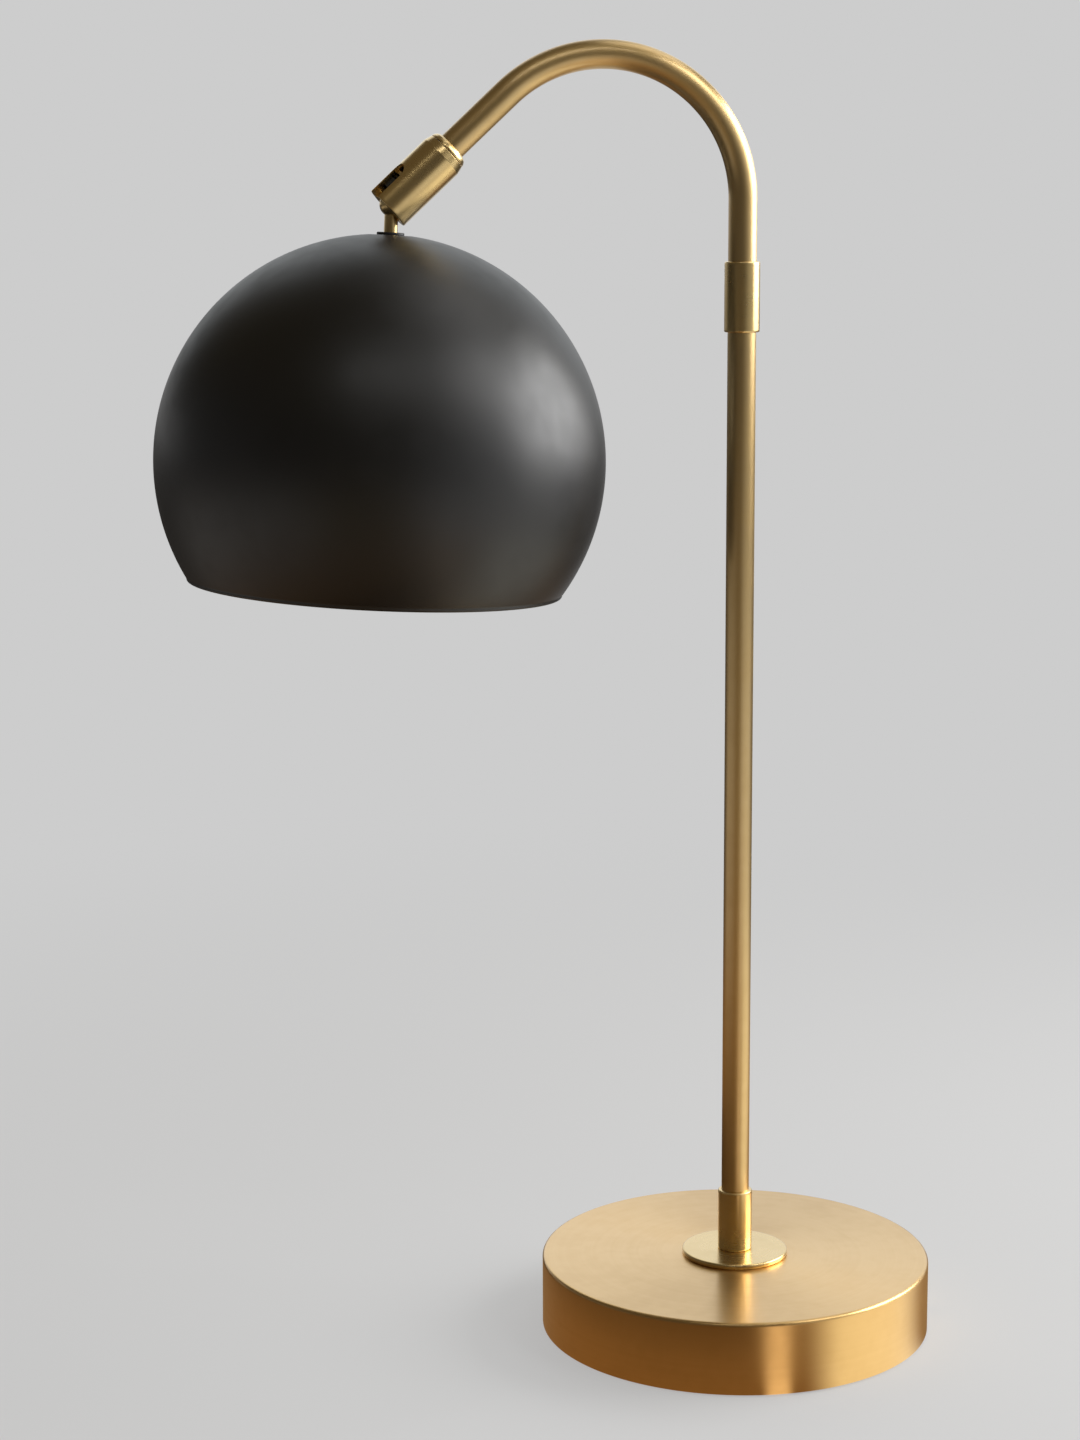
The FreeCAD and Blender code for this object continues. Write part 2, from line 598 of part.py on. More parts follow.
# --- bulb ---------------------------------------------------------------------------------------
def bulb_shape(shrink):
    """Pear-shaped bulb: a ball that flares into its neck; shrink gives the inner surface."""
    ball_r, neck_r, flare_r = BULB_R - shrink, BULB_NECK_R - shrink, BULB_FLARE_R + shrink
    flare_x = neck_r + flare_r
    rise = math.sqrt((ball_r + flare_r) ** 2 - flare_x ** 2)
    angle = math.degrees(math.atan2(rise, flare_x))
    flare_z = BULB_CENTRE + rise
    meeting = at(ball_r, angle, 0, BULB_CENTRE)
    neck_top = BULB_CAP_TOP - BULB_CAP_LENGTH
    flare_middle = at(flare_r, 180 + angle / 2, flare_x, flare_z)
    ball_middle = at(ball_r, (angle - 90) / 2, 0, BULB_CENTRE)
    return turned((0, neck_top), (neck_r, neck_top), (neck_r, flare_z), (flare_middle, meeting),
                  (ball_middle, (0, BULB_CENTRE - ball_r)))


def bulb_glass():
    neck_top = BULB_CAP_TOP - BULB_CAP_LENGTH
    inside = bulb_shape(GLASS_T).common(rod(BULB_R, BULB_CENTRE - BULB_R, neck_top - GLASS_T))
    return in_head(bulb_shape(0).cut(inside))


def bulb_cap():
    """Screw cap of the bulb; its lower end grips the neck of the glass."""
    bore_r = BULB_CAP_R - BULB_CAP_WALL
    wall = ridged(BULB_CAP_R, SHELL_CROWN, bore_r, BULB_CAP_TOP, THREAD_TURNS - 1)
    skirt_top = BULB_CAP_TOP - (THREAD_TURNS - 1) * THREAD_PITCH
    skirt = ring(BULB_CAP_R, bore_r, BULB_CAP_TOP - BULB_CAP_LENGTH, skirt_top)
    return in_head(joined(wall, skirt))


def bulb_contact():
    """Insulator at the end of the cap, with the solder tip at its middle."""
    plug_r, plug_bottom = BULB_CAP_R - BULB_CAP_WALL, BULB_CAP_TOP - PLUG_T
    return in_head(turned((0, plug_bottom), (plug_r, plug_bottom), (plug_r, BULB_CAP_TOP),
                          (SOLDER_R, BULB_TIP - SOLDER_EDGE), (SOLDER_R - SOLDER_EDGE, BULB_TIP),
                          (0, BULB_TIP)))


# --- leads --------------------------------------------------------------------------------------
def lead_stem():
    """Lead from the terminal block, round under the nipple and up the stem to the pivot."""
    bend_r = NIPPLE_BOTTOM - LEAD_Z
    start = V(BLOCK_X + 5, 0, LEAD_Z)
    corner = V(bend_r, 0, LEAD_Z)
    disc = Part.Face(Part.Wire(Part.makeCircle(LEAD_R, corner, V(1, 0, 0))))
    bend = disc.revolve(V(bend_r, 0, NIPPLE_BOTTOM), ACROSS, 90)
    return joined(rod_between(start, corner, LEAD_R), bend, rod(LEAD_R, NIPPLE_BOTTOM, SPLIT_Z))


def lead_arm():
    """Lead from the pivot, round the arm and down the barrel to just short of the ball."""
    return arm_rod(LEAD_R, SPLIT_Z + GAP, ARM_RUN + CAP_TOP - LEAD_END)


def lead_neck():
    return in_head(rod(HEAD_LEAD_R, NECK_END - 2, HEAD_LEAD_TOP))


def lead_cores():
    """The two cores, from the neck's end to the terminals."""
    top, foot = NECK_END - 2.95, HOLDER_SEAM + 3.95
    ends = [(V(side * CORE_SPREAD, 0, top), V(side * TERMINAL_X, 0, foot)) for side in (-1, 1)]
    return in_head(Part.makeCompound([rod_between(start, end, CORE_R) for start, end in ends]))


PIECES = [
    base_cover, base_weight, bottom_plate, plate_screws, base_pad, cord_bush, terminal_block, block_screws,
    stem_flange, foot_sleeve, coupling_sleeve, stem_nipple, nipple_washer, nipple_nut, lower_stem,
    stem_insert, swivel_washer,
    arm_tube, arm_pivot, pivot_spring, pivot_nut, barrel_cap, barrel_nut,
    swivel_barrel, pressure_cup, disc_springs, preload_ring,
    ball_neck, neck_nut,
    shade, shade_washer, inner_washer,
    holder_cap, holder_body, screw_shell, centre_contact, terminal_screws,
    bulb_glass, bulb_cap, bulb_contact,
    lead_stem, lead_arm, lead_neck, lead_cores,
]

os.makedirs("parts", exist_ok=True)
for make in PIECES:
    piece = make()
    piece.exportStep("parts/" + make.__name__ + ".step")
    if not piece.isValid() or min(solid.Volume for solid in piece.Solids) <= 0:
        print("bad solid:", make.__name__)
    print(make.__name__, len(piece.Solids), round(piece.Volume / 1000, 2), "cm3")
print("ball centre", [round(value, 2) for value in BALL], "height", round(BEND_Z + BEND_R + TUBE_R, 1))
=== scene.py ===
import json
import math

import bmesh
import bpy
from mathutils import Matrix, Vector


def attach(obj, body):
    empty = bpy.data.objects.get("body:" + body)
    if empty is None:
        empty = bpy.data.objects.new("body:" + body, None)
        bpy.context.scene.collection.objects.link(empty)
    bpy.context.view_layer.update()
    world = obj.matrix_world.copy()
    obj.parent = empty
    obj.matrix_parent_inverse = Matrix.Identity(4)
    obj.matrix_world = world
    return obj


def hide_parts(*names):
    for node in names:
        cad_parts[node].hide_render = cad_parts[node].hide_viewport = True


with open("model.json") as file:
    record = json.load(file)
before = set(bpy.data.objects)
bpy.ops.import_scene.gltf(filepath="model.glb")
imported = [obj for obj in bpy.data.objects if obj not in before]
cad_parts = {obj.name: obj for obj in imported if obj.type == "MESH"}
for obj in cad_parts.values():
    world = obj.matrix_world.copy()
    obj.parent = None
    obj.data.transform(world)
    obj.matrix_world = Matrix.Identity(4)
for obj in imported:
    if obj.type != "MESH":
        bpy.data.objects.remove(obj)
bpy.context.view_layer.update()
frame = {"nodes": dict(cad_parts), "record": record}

# Dome shade desk lamp in brass with a black shade. Shapes are drawn in millimetres in their own frame,
# with +Z along the piece's axis, and become metres in the lamp's frame when the mesh is made.

MM = 0.001
METRES = Matrix.Scale(MM, 4)

# --- sizes shared with the solids -----------------------------------------------------------------
BASE_R, BASE_TOP, BASE_EDGE, BASE_WALL, BASE_LIFT = 90.0, 34.0, 1.6, 1.5, 0.8
NIPPLE_HOLE_R = 5.05
OUTLET_R, OUTLET_Z = 4.2, 9.0
FLANGE_R, FLANGE_TOP = 24.5, 36.5
TUBE_R, TUBE_WALL = 6.35, 1.3
SLEEVE_R, SLEEVE_BORE_R = 7.9, 6.4
FOOT_SLEEVE_TOP = 65.0
COUPLING_BOTTOM, COUPLING_TOP = 461.5, 492.5
SPLIT_Z, ARM_BOTTOM = 476.8, 477.9
BEND_Z, BEND_R, BEND_TURN, ARM_RUN = 519.7, 62.0, math.radians(133.0), 33.5
BARREL_R, BARREL_BORE_R, BARREL_TOP, SHOULDER_Z, SHOULDER_R = 10.25, 8.25, 32.8, 29.5, 9.4
CAP_TOP, CAP_END_R = 35.8, 7.6
MOUTH_Z = -2.7
SLOT_TURN = math.radians(25.0)
RING_LOW, RING_HIGH = 10.8, 12.4
BALL_R, NECK_R, NECK_BORE_R, NECK_END = 5.4, 3.0, 1.9, -23.0
HEAD_LEAN = math.radians(3.3)
BARREL_LEAN = math.radians(47.0)
SHADE_R, SHADE_WALL, SHADE_CENTRE, SHADE_CUT, SHADE_FLAT_R = 99.0, 1.0, -111.75, 54.2, 9.0
SHADE_TOP, NECK_HOLE_R = SHADE_CENTRE + math.sqrt(SHADE_R ** 2 - SHADE_FLAT_R ** 2), 3.05
HOLDER_R, HOLDER_TOP, HOLDER_SEAM, HOLDER_MOUTH = 19.5, -15.359, -31.0, -60.0
BULB_R, BULB_CENTRE, BULB_NECK_R, BULB_NECK_TOP = 30.0, -113.0, 14.0, -60.0

run = Vector((-math.sin(BEND_TURN), 0, math.cos(BEND_TURN)))
bend_end = Vector((BEND_R * (math.cos(BEND_TURN) - 1), 0, BEND_Z + BEND_R * math.sin(BEND_TURN)))
BALL = bend_end + run * (ARM_RUN + CAP_TOP)
IN_STAND = Matrix.Identity(4)
IN_BARREL = Matrix.Translation(BALL) @ Matrix.Rotation(BARREL_LEAN, 4, "Y")
IN_HEAD = Matrix.Translation(BALL) @ Matrix.Rotation(HEAD_LEAN, 4, "Y")
IN_OUTLET = Matrix.Translation((0, 0, OUTLET_Z)) @ Matrix.Rotation(math.pi / 2, 4, "Y")

scene = bpy.context.scene


# --- camera ---------------------------------------------------------------------------------------
def turned(first, second, angle):
    """Two directions at a right angle after a turn of the first towards the second."""
    return (first * math.cos(angle) + second * math.sin(angle),
            second * math.cos(angle) - first * math.sin(angle))


def make_camera():
    """Camera at the photograph's place: 1.29 m away, a little left of square, looking slightly down."""
    side, height, distance = math.radians(12.0), 0.5077, 1.287
    pan, pitch, roll = math.radians(4.02), math.radians(9.74), math.radians(-0.23)
    ahead = Vector((math.sin(side), math.cos(side), 0))
    right = Vector((math.cos(side), -math.sin(side), 0))
    up = Vector((0, 0, 1))
    look, across = turned(ahead, right, -pan)
    look, rise = turned(look, up, -pitch)
    across, rise = turned(across, rise, roll)
    film_tall, focal_px, frame_px = 24.0, 2870, 1440
    data = bpy.data.cameras.new("camera")
    data.sensor_fit = "VERTICAL"
    data.sensor_height = film_tall
    data.lens = film_tall * focal_px / frame_px
    data.clip_start, data.clip_end = 0.05, 60.0
    camera = bpy.data.objects.new("camera", data)
    turn = Matrix((across, rise, -look)).transposed().to_4x4()
    camera.matrix_world = Matrix.Translation(-ahead * distance + up * height) @ turn
    scene.collection.objects.link(camera)
    scene.camera = camera
    return ahead, right


AHEAD, RIGHT = make_camera()


# --- shader helpers -------------------------------------------------------------------------------
def linked(tree, node, **inputs):
    """Sets a node's inputs: a socket is linked, anything else is a plain value."""
    for key, value in inputs.items():
        socket = node.inputs[int(key[1:])] if key[0] == "_" else node.inputs[key.replace("_", " ")]
        if isinstance(value, bpy.types.NodeSocket):
            tree.links.new(value, socket)
        else:
            socket.default_value = value
    return node


def maths(tree, operation, first, second=0.0, clamp=False):
    node = tree.nodes.new("ShaderNodeMath")
    node.operation, node.use_clamp = operation, clamp
    return linked(tree, node, _0=first, _1=second).outputs[0]


def vector_maths(tree, operation, first, second=(0, 0, 0)):
    node = tree.nodes.new("ShaderNodeVectorMath")
    node.operation = operation
    linked(tree, node, _0=first, _1=second)
    return node.outputs["Value" if operation in ("DOT_PRODUCT", "LENGTH") else "Vector"]


def weighted(tree, first, first_share, second, second_share, clamp=False):
    """Sum of two values, each times its share."""
    return maths(tree, "ADD", maths(tree, "MULTIPLY", first, first_share),
                 maths(tree, "MULTIPLY", second, second_share), clamp)


def parts(tree, vector):
    return tuple(linked(tree, tree.nodes.new("ShaderNodeSeparateXYZ"), _0=vector).outputs)


def joined(tree, x, y, z):
    return linked(tree, tree.nodes.new("ShaderNodeCombineXYZ"), _0=x, _1=y, _2=z).outputs[0]


def ramp(tree, value, low, high, to_low=0.0, to_high=1.0):
    """Soft step from one value to another while the given value goes from low to high."""
    node = tree.nodes.new("ShaderNodeMapRange")
    node.interpolation_type = "SMOOTHSTEP"
    linked(tree, node, _0=value, _1=low, _2=high, _3=to_low, _4=to_high)
    return node.outputs[0]


def between(tree, value, start, full, last, end):
    """1 from full to last, fading to 0 at start and at end."""
    return maths(tree, "MULTIPLY", ramp(tree, value, start, full), ramp(tree, value, end, last))


def blended(tree, factor, first, second):
    node = tree.nodes.new("ShaderNodeMix")
    node.data_type = "RGBA"
    linked(tree, node, _0=factor, _6=first, _7=second)
    return node.outputs[2]


def noise(tree, point, scale, detail=2.0, roughness=0.5):
    node = tree.nodes.new("ShaderNodeTexNoise")
    linked(tree, node, Vector=point, Scale=scale, Detail=detail, Roughness=roughness)
    return node.outputs["Fac"]


def effect(name, inputs, outputs):
    """Empty shader node group with its sockets; returns the group, its input node and its output node."""
    group = bpy.data.node_groups.new(name, "ShaderNodeTree")
    for label, kind, value in inputs:
        socket = group.interface.new_socket(label, in_out="INPUT", socket_type="NodeSocket" + kind)
        if value is not None:
            socket.default_value = value
    for label, kind in outputs:
        group.interface.new_socket(label, in_out="OUTPUT", socket_type="NodeSocket" + kind)
    return group, group.nodes.new("NodeGroupInput"), group.nodes.new("NodeGroupOutput")


def use(tree, group, **inputs):
    node = tree.nodes.new("ShaderNodeGroup")
    node.node_tree = group
    return linked(tree, node, **inputs)


# --- effects that several finishes share ----------------------------------------------------------
def make_worked_lines():
    """Fine lines of turning or drawing. They are close where the pattern's scale is large: Along is the
    scale along the piece's axis and outwards from it, Round the scale round the axis."""
    group, given, out = effect(
        "worked lines", [("Point", "Vector", None), ("Along", "Float", 3.0), ("Round", "Float", 0.8)],
        [("Lines", "Float"), ("Bands", "Float")])
    x, y, z = parts(group, given.outputs["Point"])
    flat = joined(group, x, y, 0.0)
    facing = parts(group, vector_maths(group, "NORMALIZE", flat))
    inwards = maths(group, "SUBTRACT", z, vector_maths(group, "LENGTH", flat))
    along = maths(group, "MULTIPLY", inwards, given.outputs["Along"])
    across = [maths(group, "MULTIPLY", facing[i], given.outputs["Round"]) for i in (0, 1)]
    for label, scale in (("Lines", 1.0), ("Bands", BAND_SCALE)):
        place = joined(group, *[maths(group, "MULTIPLY", value, scale) for value in (*across, along)])
        group.links.new(noise(group, place, 1.0, 3.0, 0.65), out.inputs[label])
    return group


def make_handling():
    """Soft cloudy marks from handling and wiping, with a few finer smears."""
    group, given, out = effect("handling marks", [("Point", "Vector", None), ("Size", "Float", 30.0)],
                               [("Marks", "Float")])
    place = given.outputs["Point"]
    scale = maths(group, "DIVIDE", 1.0, given.outputs["Size"])
    clouds = noise(group, place, scale, 3.0, 0.55)
    smears = noise(group, place, maths(group, "MULTIPLY", scale, 4.0), 2.0, 0.5)
    mixed = weighted(group, clouds, 0.7, smears, 0.3)
    group.links.new(ramp(group, mixed, 0.38, 0.66), out.inputs["Marks"])
    return group


def make_pebbled():
    """Fine pebbled skin, as on powder coat, cast metal and moulded plastic."""
    group, given, out = effect("pebbled skin", [("Point", "Vector", None), ("Size", "Float", 0.6)],
                               [("Height", "Float")])
    place, size = given.outputs["Point"], given.outputs["Size"]
    cells = group.nodes.new("ShaderNodeTexVoronoi")
    cells.feature = "SMOOTH_F1"
    linked(group, cells, Vector=place, Scale=maths(group, "DIVIDE", 1.0, size), Smoothness=0.9)
    fine = noise(group, place, maths(group, "DIVIDE", 1.7, size), 2.0)
    group.links.new(weighted(group, cells.outputs["Distance"], 0.6, fine, 0.4), out.inputs["Height"])
    return group


def make_dust():
    """Thin dust that settles on faces that look up."""
    group, given, out = effect("settled dust", [("Point", "Vector", None), ("Normal", "Vector", None)],
                               [("Dust", "Float")])
    up = vector_maths(group, "DOT_PRODUCT", given.outputs["Normal"], (0.0, 0.0, 1.0))
    motes = ramp(group, noise(group, given.outputs["Point"], 1.6, 2.0), 0.56, 0.72)
    film = noise(group, given.outputs["Point"], 0.06, 3.0)
    amount = maths(group, "MULTIPLY", ramp(group, up, 0.35, 1.0), weighted(group, motes, 0.5, film, 0.5))
    group.links.new(amount, out.inputs["Dust"])
    return group


BAND_SCALE = 0.15
WORKED_LINES = make_worked_lines()
HANDLING = make_handling()
PEBBLED = make_pebbled()
DUST = make_dust()


# --- finishes -------------------------------------------------------------------------------------
def finish(name, color, roughness, metallic=0.0, **settings):
    """Material, its node tree and its shader, which gets the plain values given here."""
    material = bpy.data.materials.new(name)
    material.use_nodes = True
    tree = material.node_tree
    shader = tree.nodes["Principled BSDF"]
    shader.inputs["Base Color"].default_value = (*color, 1)
    shader.inputs["Roughness"].default_value = roughness
    shader.inputs["Metallic"].default_value = metallic
    for key, value in settings.items():
        shader.inputs[key.replace("_", " ")].default_value = value
    return material, tree, shader


def own_point(tree):
    """Place on the piece in millimetres, in its own frame: the axis is Z."""
    node = tree.nodes.new("ShaderNodeAttribute")
    node.attribute_name = "own"
    return node.outputs["Vector"]


def object_point(tree):
    """Place on a plain CAD solid in millimetres."""
    node = tree.nodes.new("ShaderNodeTexCoord")
    return vector_maths(tree, "MULTIPLY", node.outputs["Object"], (1000.0, 1000.0, 1000.0))


def bumped(tree, shader, height, depth, strength=1.0):
    """Bump whose full height is depth, in millimetres."""
    node = tree.nodes.new("ShaderNodeBump")
    linked(tree, node, Strength=strength, Distance=depth * MM, Height=height)
    tree.links.new(node.outputs[0], shader.inputs["Normal"])


def brass(name, color, roughness, along, around, line_depth, uneven, anisotropic=0.0, point=own_point,
          turn=0.0):
    """Lacquered brass: lines from turning or drawing, and cloudy marks, deeper in tone and duller."""
    material, tree, shader = finish(name, color, roughness, 1.0, Coat_Weight=0.7, Coat_Roughness=0.2,
                                    Anisotropic=anisotropic, Anisotropic_Rotation=turn)
    deep = (color[0] * 0.9, color[1] * 0.86, color[2] * 0.75)
    place = point(tree)
    lines = use(tree, WORKED_LINES, Point=place, Along=along, Round=around)
    marks = use(tree, HANDLING, Point=place, Size=26.0).outputs["Marks"]
    tone = weighted(tree, marks, 0.3, lines.outputs["Bands"], 0.5, True)
    tree.links.new(blended(tree, tone, (*color, 1), (*deep, 1)), shader.inputs["Base Color"])
    spread = weighted(tree, lines.outputs["Bands"], uneven, marks, 0.03)
    tree.links.new(maths(tree, "ADD", spread, roughness - 0.5 * uneven), shader.inputs["Roughness"])
    if anisotropic:
        tangent = tree.nodes.new("ShaderNodeTangent")
        tangent.direction_type, tangent.uv_map = "UV_MAP", "turn"
        tree.links.new(tangent.outputs[0], shader.inputs["Tangent"])
    bumped(tree, shader, lines.outputs["Lines"], line_depth, 0.5)
    return material


def paint(name, color, roughness, pebble, depth, dust=0.0, **settings):
    """Powder coat: a fine pebbled skin, uneven gloss and a trace of dust on top."""
    material, tree, shader = finish(name, color, roughness, **settings)
    place = own_point(tree)
    skin = use(tree, PEBBLED, Point=place, Size=pebble)
    marks = use(tree, HANDLING, Point=place, Size=40.0).outputs["Marks"]
    tree.links.new(maths(tree, "ADD", maths(tree, "MULTIPLY", marks, 0.05), roughness - 0.02),
                   shader.inputs["Roughness"])
    normal = tree.nodes.new("ShaderNodeNewGeometry").outputs["Normal"]
    film = use(tree, DUST, Point=place, Normal=normal).outputs["Dust"]
    pale = tuple(min(1.0, part + 0.12) for part in color)
    tree.links.new(blended(tree, maths(tree, "MULTIPLY", film, dust), (*color, 1), (*pale, 1)),
                   shader.inputs["Base Color"])
    bumped(tree, shader, skin.outputs["Height"], depth, 0.6)
    return material


def moulded(name, color, roughness, size, depth, metallic=0.0, **settings):
    """Moulded, cast or plated skin with a fine texture and an uneven shine."""
    material, tree, shader = finish(name, color, roughness, metallic, **settings)
    place = object_point(tree)
    skin = use(tree, PEBBLED, Point=place, Size=size)
    marks = use(tree, HANDLING, Point=place, Size=12.0).outputs["Marks"]
    tree.links.new(maths(tree, "ADD", maths(tree, "MULTIPLY", marks, 0.12), roughness - 0.05),
                   shader.inputs["Roughness"])
    darker = tuple(part * 0.8 for part in color)
    tree.links.new(blended(tree, marks, (*color, 1), (*darker, 1)), shader.inputs["Base Color"])
    bumped(tree, shader, skin.outputs["Height"], depth, 0.7)
    return material


def felt(name, color):
    """Pressed felt: matt, with short paler fibres."""
    material, tree, shader = finish(name, color, 0.95, Sheen_Weight=0.4, Sheen_Roughness=0.5)
    place = object_point(tree)
    stretched = vector_maths(tree, "MULTIPLY", place, (1.0, 1.0, 0.3))
    fibres = noise(tree, stretched, 2.6, 6.0, 0.75)
    paler = tuple(part * 2.2 for part in color)
    tree.links.new(blended(tree, ramp(tree, fibres, 0.35, 0.7), (*color, 1), (*paler, 1)),
                   shader.inputs["Base Color"])
    bumped(tree, shader, fibres, 0.35)
    return material


def opal(name):
    """Opal glass: milky body under a hard clear skin."""
    material, tree, shader = finish(name, (0.9, 0.895, 0.87), 0.3, Coat_Weight=1.0, Coat_Roughness=0.03,
                                    Subsurface_Weight=0.3, Subsurface_Scale=0.004)
    place = own_point(tree)
    milk = noise(tree, place, 0.05, 3.0)
    tree.links.new(blended(tree, ramp(tree, milk, 0.3, 0.7), (0.92, 0.915, 0.89, 1), (0.87, 0.86, 0.83, 1)),
                   shader.inputs["Base Color"])
    marks = use(tree, HANDLING, Point=place, Size=18.0).outputs["Marks"]
    tree.links.new(maths(tree, "ADD", maths(tree, "MULTIPLY", marks, 0.1), 0.25),
                   shader.inputs["Roughness"])
    bumped(tree, shader, milk, 0.05)
    return material


BRIGHT = (0.84, 0.62, 0.28)
TURNED_BRASS = brass("turned brass", (0.78, 0.51, 0.2), 0.33, along=2.4, around=0.8, line_depth=0.005,
                     uneven=0.1, anisotropic=0.6)
DRAWN_BRASS = brass("drawn brass", (0.77, 0.55, 0.25), 0.34, along=0.04, around=14.0, line_depth=0.0006,
                    uneven=0.06, anisotropic=0.6, turn=0.25)
BRIGHT_BRASS = brass("bright brass", BRIGHT, 0.27, along=3.0, around=0.8, line_depth=0.0008,
                     uneven=0.05, anisotropic=0.3)
BRASS_SOLID = brass("bright brass, plain solids", BRIGHT, 0.27, along=0.6, around=0.6, line_depth=0.003,
                    uneven=0.06, point=object_point)
# Powder coat and moulded skins: colour, roughness, grain and its depth in millimetres, then how metallic.
FINISHES = {
    "brushed_brass": TURNED_BRASS,
    "satin_brass": DRAWN_BRASS,
    "polished_brass": BRIGHT_BRASS,
    "black_paint": paint("black powder coat", (0.0015, 0.0015, 0.0015), 0.43, 0.7, 0.015, 0.02,
                         Specular_IOR_Level=0.75),
    "cast_iron": moulded("cast iron", (0.06, 0.06, 0.065), 0.7, 1.2, 0.25, 0.6),
    "blued_steel": moulded("blued spring steel", (0.05, 0.05, 0.06), 0.3, 0.5, 0.005, 1.0),
    "zinc_steel": moulded("zinc plate", (0.62, 0.62, 0.6), 0.35, 0.5, 0.01, 1.0),
    "felt": felt("dark felt", (0.02, 0.02, 0.022)),
    "black_nylon": moulded("black nylon", (0.018, 0.018, 0.019), 0.5, 0.35, 0.02),
    "black_phenolic": moulded("black phenolic", (0.014, 0.013, 0.013), 0.22, 0.5, 0.006, Coat_Weight=0.3),
    "white_nylon": moulded("natural nylon", (0.74, 0.72, 0.66), 0.5, 0.35, 0.02),
    "nickel": moulded("nickel plate", (0.66, 0.63, 0.58), 0.2, 0.4, 0.004, 1.0),
    "opal_glass": opal("opal glass"),
    "black_glass": moulded("black insulator", (0.02, 0.02, 0.03), 0.15, 0.5, 0.01),
    "lead_sheath": moulded("lead sheath", (0.7, 0.68, 0.62), 0.55, 0.3, 0.02),
}
INSIDE_WHITE = paint("white inside the shade", (0.78, 0.77, 0.74), 0.5, 0.7, 0.02)


# --- outlines -------------------------------------------------------------------------------------
def arc(centre_r, centre_z, radius, start, end, steps):
    """Points of an arc, angles in degrees from the radius direction towards +Z; both ends included."""
    points = []
    for i in range(steps + 1):
        angle = math.radians(start + (end - start) * i / steps)
        points.append((centre_r + radius * math.cos(angle), centre_z + radius * math.sin(angle)))
    return points


def eased(corners, steps=5):
    """Outline whose corners, given as (radius, height, easing), are rounded; easing may be left out."""
    points = []
    for i, corner in enumerate(corners):
        easing = corner[2] if len(corner) > 2 else 0
        here = Vector(corner[:2])
        if not easing:
            points.append(tuple(here))
            continue
        before = (Vector(corners[i - 1][:2]) - here).normalized()
        after = (Vector(corners[(i + 1) % len(corners)][:2]) - here).normalized()
        half = before.angle(after) / 2
        middle = here + (before + after).normalized() * easing / math.sin(half)
        first, last = here + before * easing / math.tan(half), here + after * easing / math.tan(half)
        sweep = (first - middle).angle_signed(last - middle)
        for step in range(steps + 1):
            spoke = (first - middle).copy()
            spoke.rotate(Matrix.Rotation(-sweep * step / steps, 2))
            points.append(tuple(middle + spoke))
    return points


def held(points, reach=0.35, shortest=3.0):
    """The closed outline with a point added near both ends of each long run, so that flats shade flat."""
    result = []
    for i, point in enumerate(points):
        here, following = Vector(point), Vector(points[(i + 1) % len(points)])
        result.append(tuple(here))
        length = (following - here).length
        if length > shortest:
            for share in (reach / length, 1 - reach / length):
                result.append(tuple(here.lerp(following, share)))
    return result


# --- mesh makers ----------------------------------------------------------------------------------
def new_object(name, mesh):
    made = bpy.data.objects.new(name, mesh)
    scene.collection.objects.link(made)
    return made


def lathe(name, points, place=IN_STAND, segments=128, closed=True, sharp=38.0):
    """Mesh turned about the piece's own Z axis. It keeps each point's place in the piece's frame as "own",
    and a map, "turn", whose first axis runs along the outline and whose second runs round."""
    mesh = bpy.data.meshes.new(name)
    build = bmesh.new()
    own = build.verts.layers.float_vector.new("own")
    map_layer = build.loops.layers.uv.new("turn")
    rows = []
    for radius, height in points:
        count = segments if radius > 1e-6 else 1
        row = []
        for i in range(count):
            angle = 2 * math.pi * i / segments
            spot = Vector((radius * math.cos(angle), radius * math.sin(angle), height))
            vert = build.verts.new(spot)
            vert[own] = spot
            row.append(vert)
        rows.append(row)
    lengths = [0.0]
    for i in range(len(points)):
        lengths.append(lengths[-1] + (Vector(points[(i + 1) % len(points)]) - Vector(points[i])).length)
    for i in range(len(rows) if closed else len(rows) - 1):
        low, high = rows[i], rows[(i + 1) % len(rows)]
        for j in range(segments):
            k = (j + 1) % segments
            spots = [(low, j, 0, 0), (low, k, 1, 0), (high, k, 1, 1), (high, j, 0, 1)]
            if len(low) == 1:
                spots = [(low, 0, 0, 0), (high, k, 1, 1), (high, j, 0, 1)]
            if len(high) == 1:
                spots = [(low, j, 0, 0), (low, k, 1, 0), (high, 0, 0, 1)]
            if len(low) == 1 and len(high) == 1:
                continue
            face = build.faces.new([row[at] for row, at, _, _ in spots])
            for loop, (_, _, step, above) in zip(face.loops, spots):
                loop[map_layer].uv = (lengths[i + above] * 0.01, (j + step) / segments)
    if build.calc_volume(signed=True) < 0:
        bmesh.ops.reverse_faces(build, faces=build.faces[:])
    build.to_mesh(mesh)
    build.free()
    mesh.transform(METRES @ place)
    shade_smooth(mesh, sharp)
    return new_object(name, mesh)


def shade_smooth(mesh, sharp=38.0):
    mesh.shade_smooth()
    mesh.set_sharp_from_angle(angle=math.radians(sharp))


def plain_mesh(made):
    """Turns an object and its modifiers into one plain mesh with nothing live on it."""
    graph = bpy.context.evaluated_depsgraph_get()
    mesh = bpy.data.meshes.new_from_object(made.evaluated_get(graph), depsgraph=graph)
    mesh.name = made.name
    made.modifiers.clear()
    made.data = mesh
    return made


def cut(made, cutters, ease=0.0):
    """Cuts shapes out of a piece and eases the edges of the cut."""
    for cutter in cutters:
        step = made.modifiers.new("cut", "BOOLEAN")
        step.operation, step.solver, step.object = "DIFFERENCE", "EXACT", cutter
    if ease:
        edge = made.modifiers.new("ease", "BEVEL")
        edge.width, edge.segments, edge.limit_method = ease * MM, 2, "ANGLE"
        edge.angle_limit = math.radians(50)
    plain_mesh(made)
    for cutter in cutters:
        bpy.data.objects.remove(cutter)
    shade_smooth(made.data)
    return made


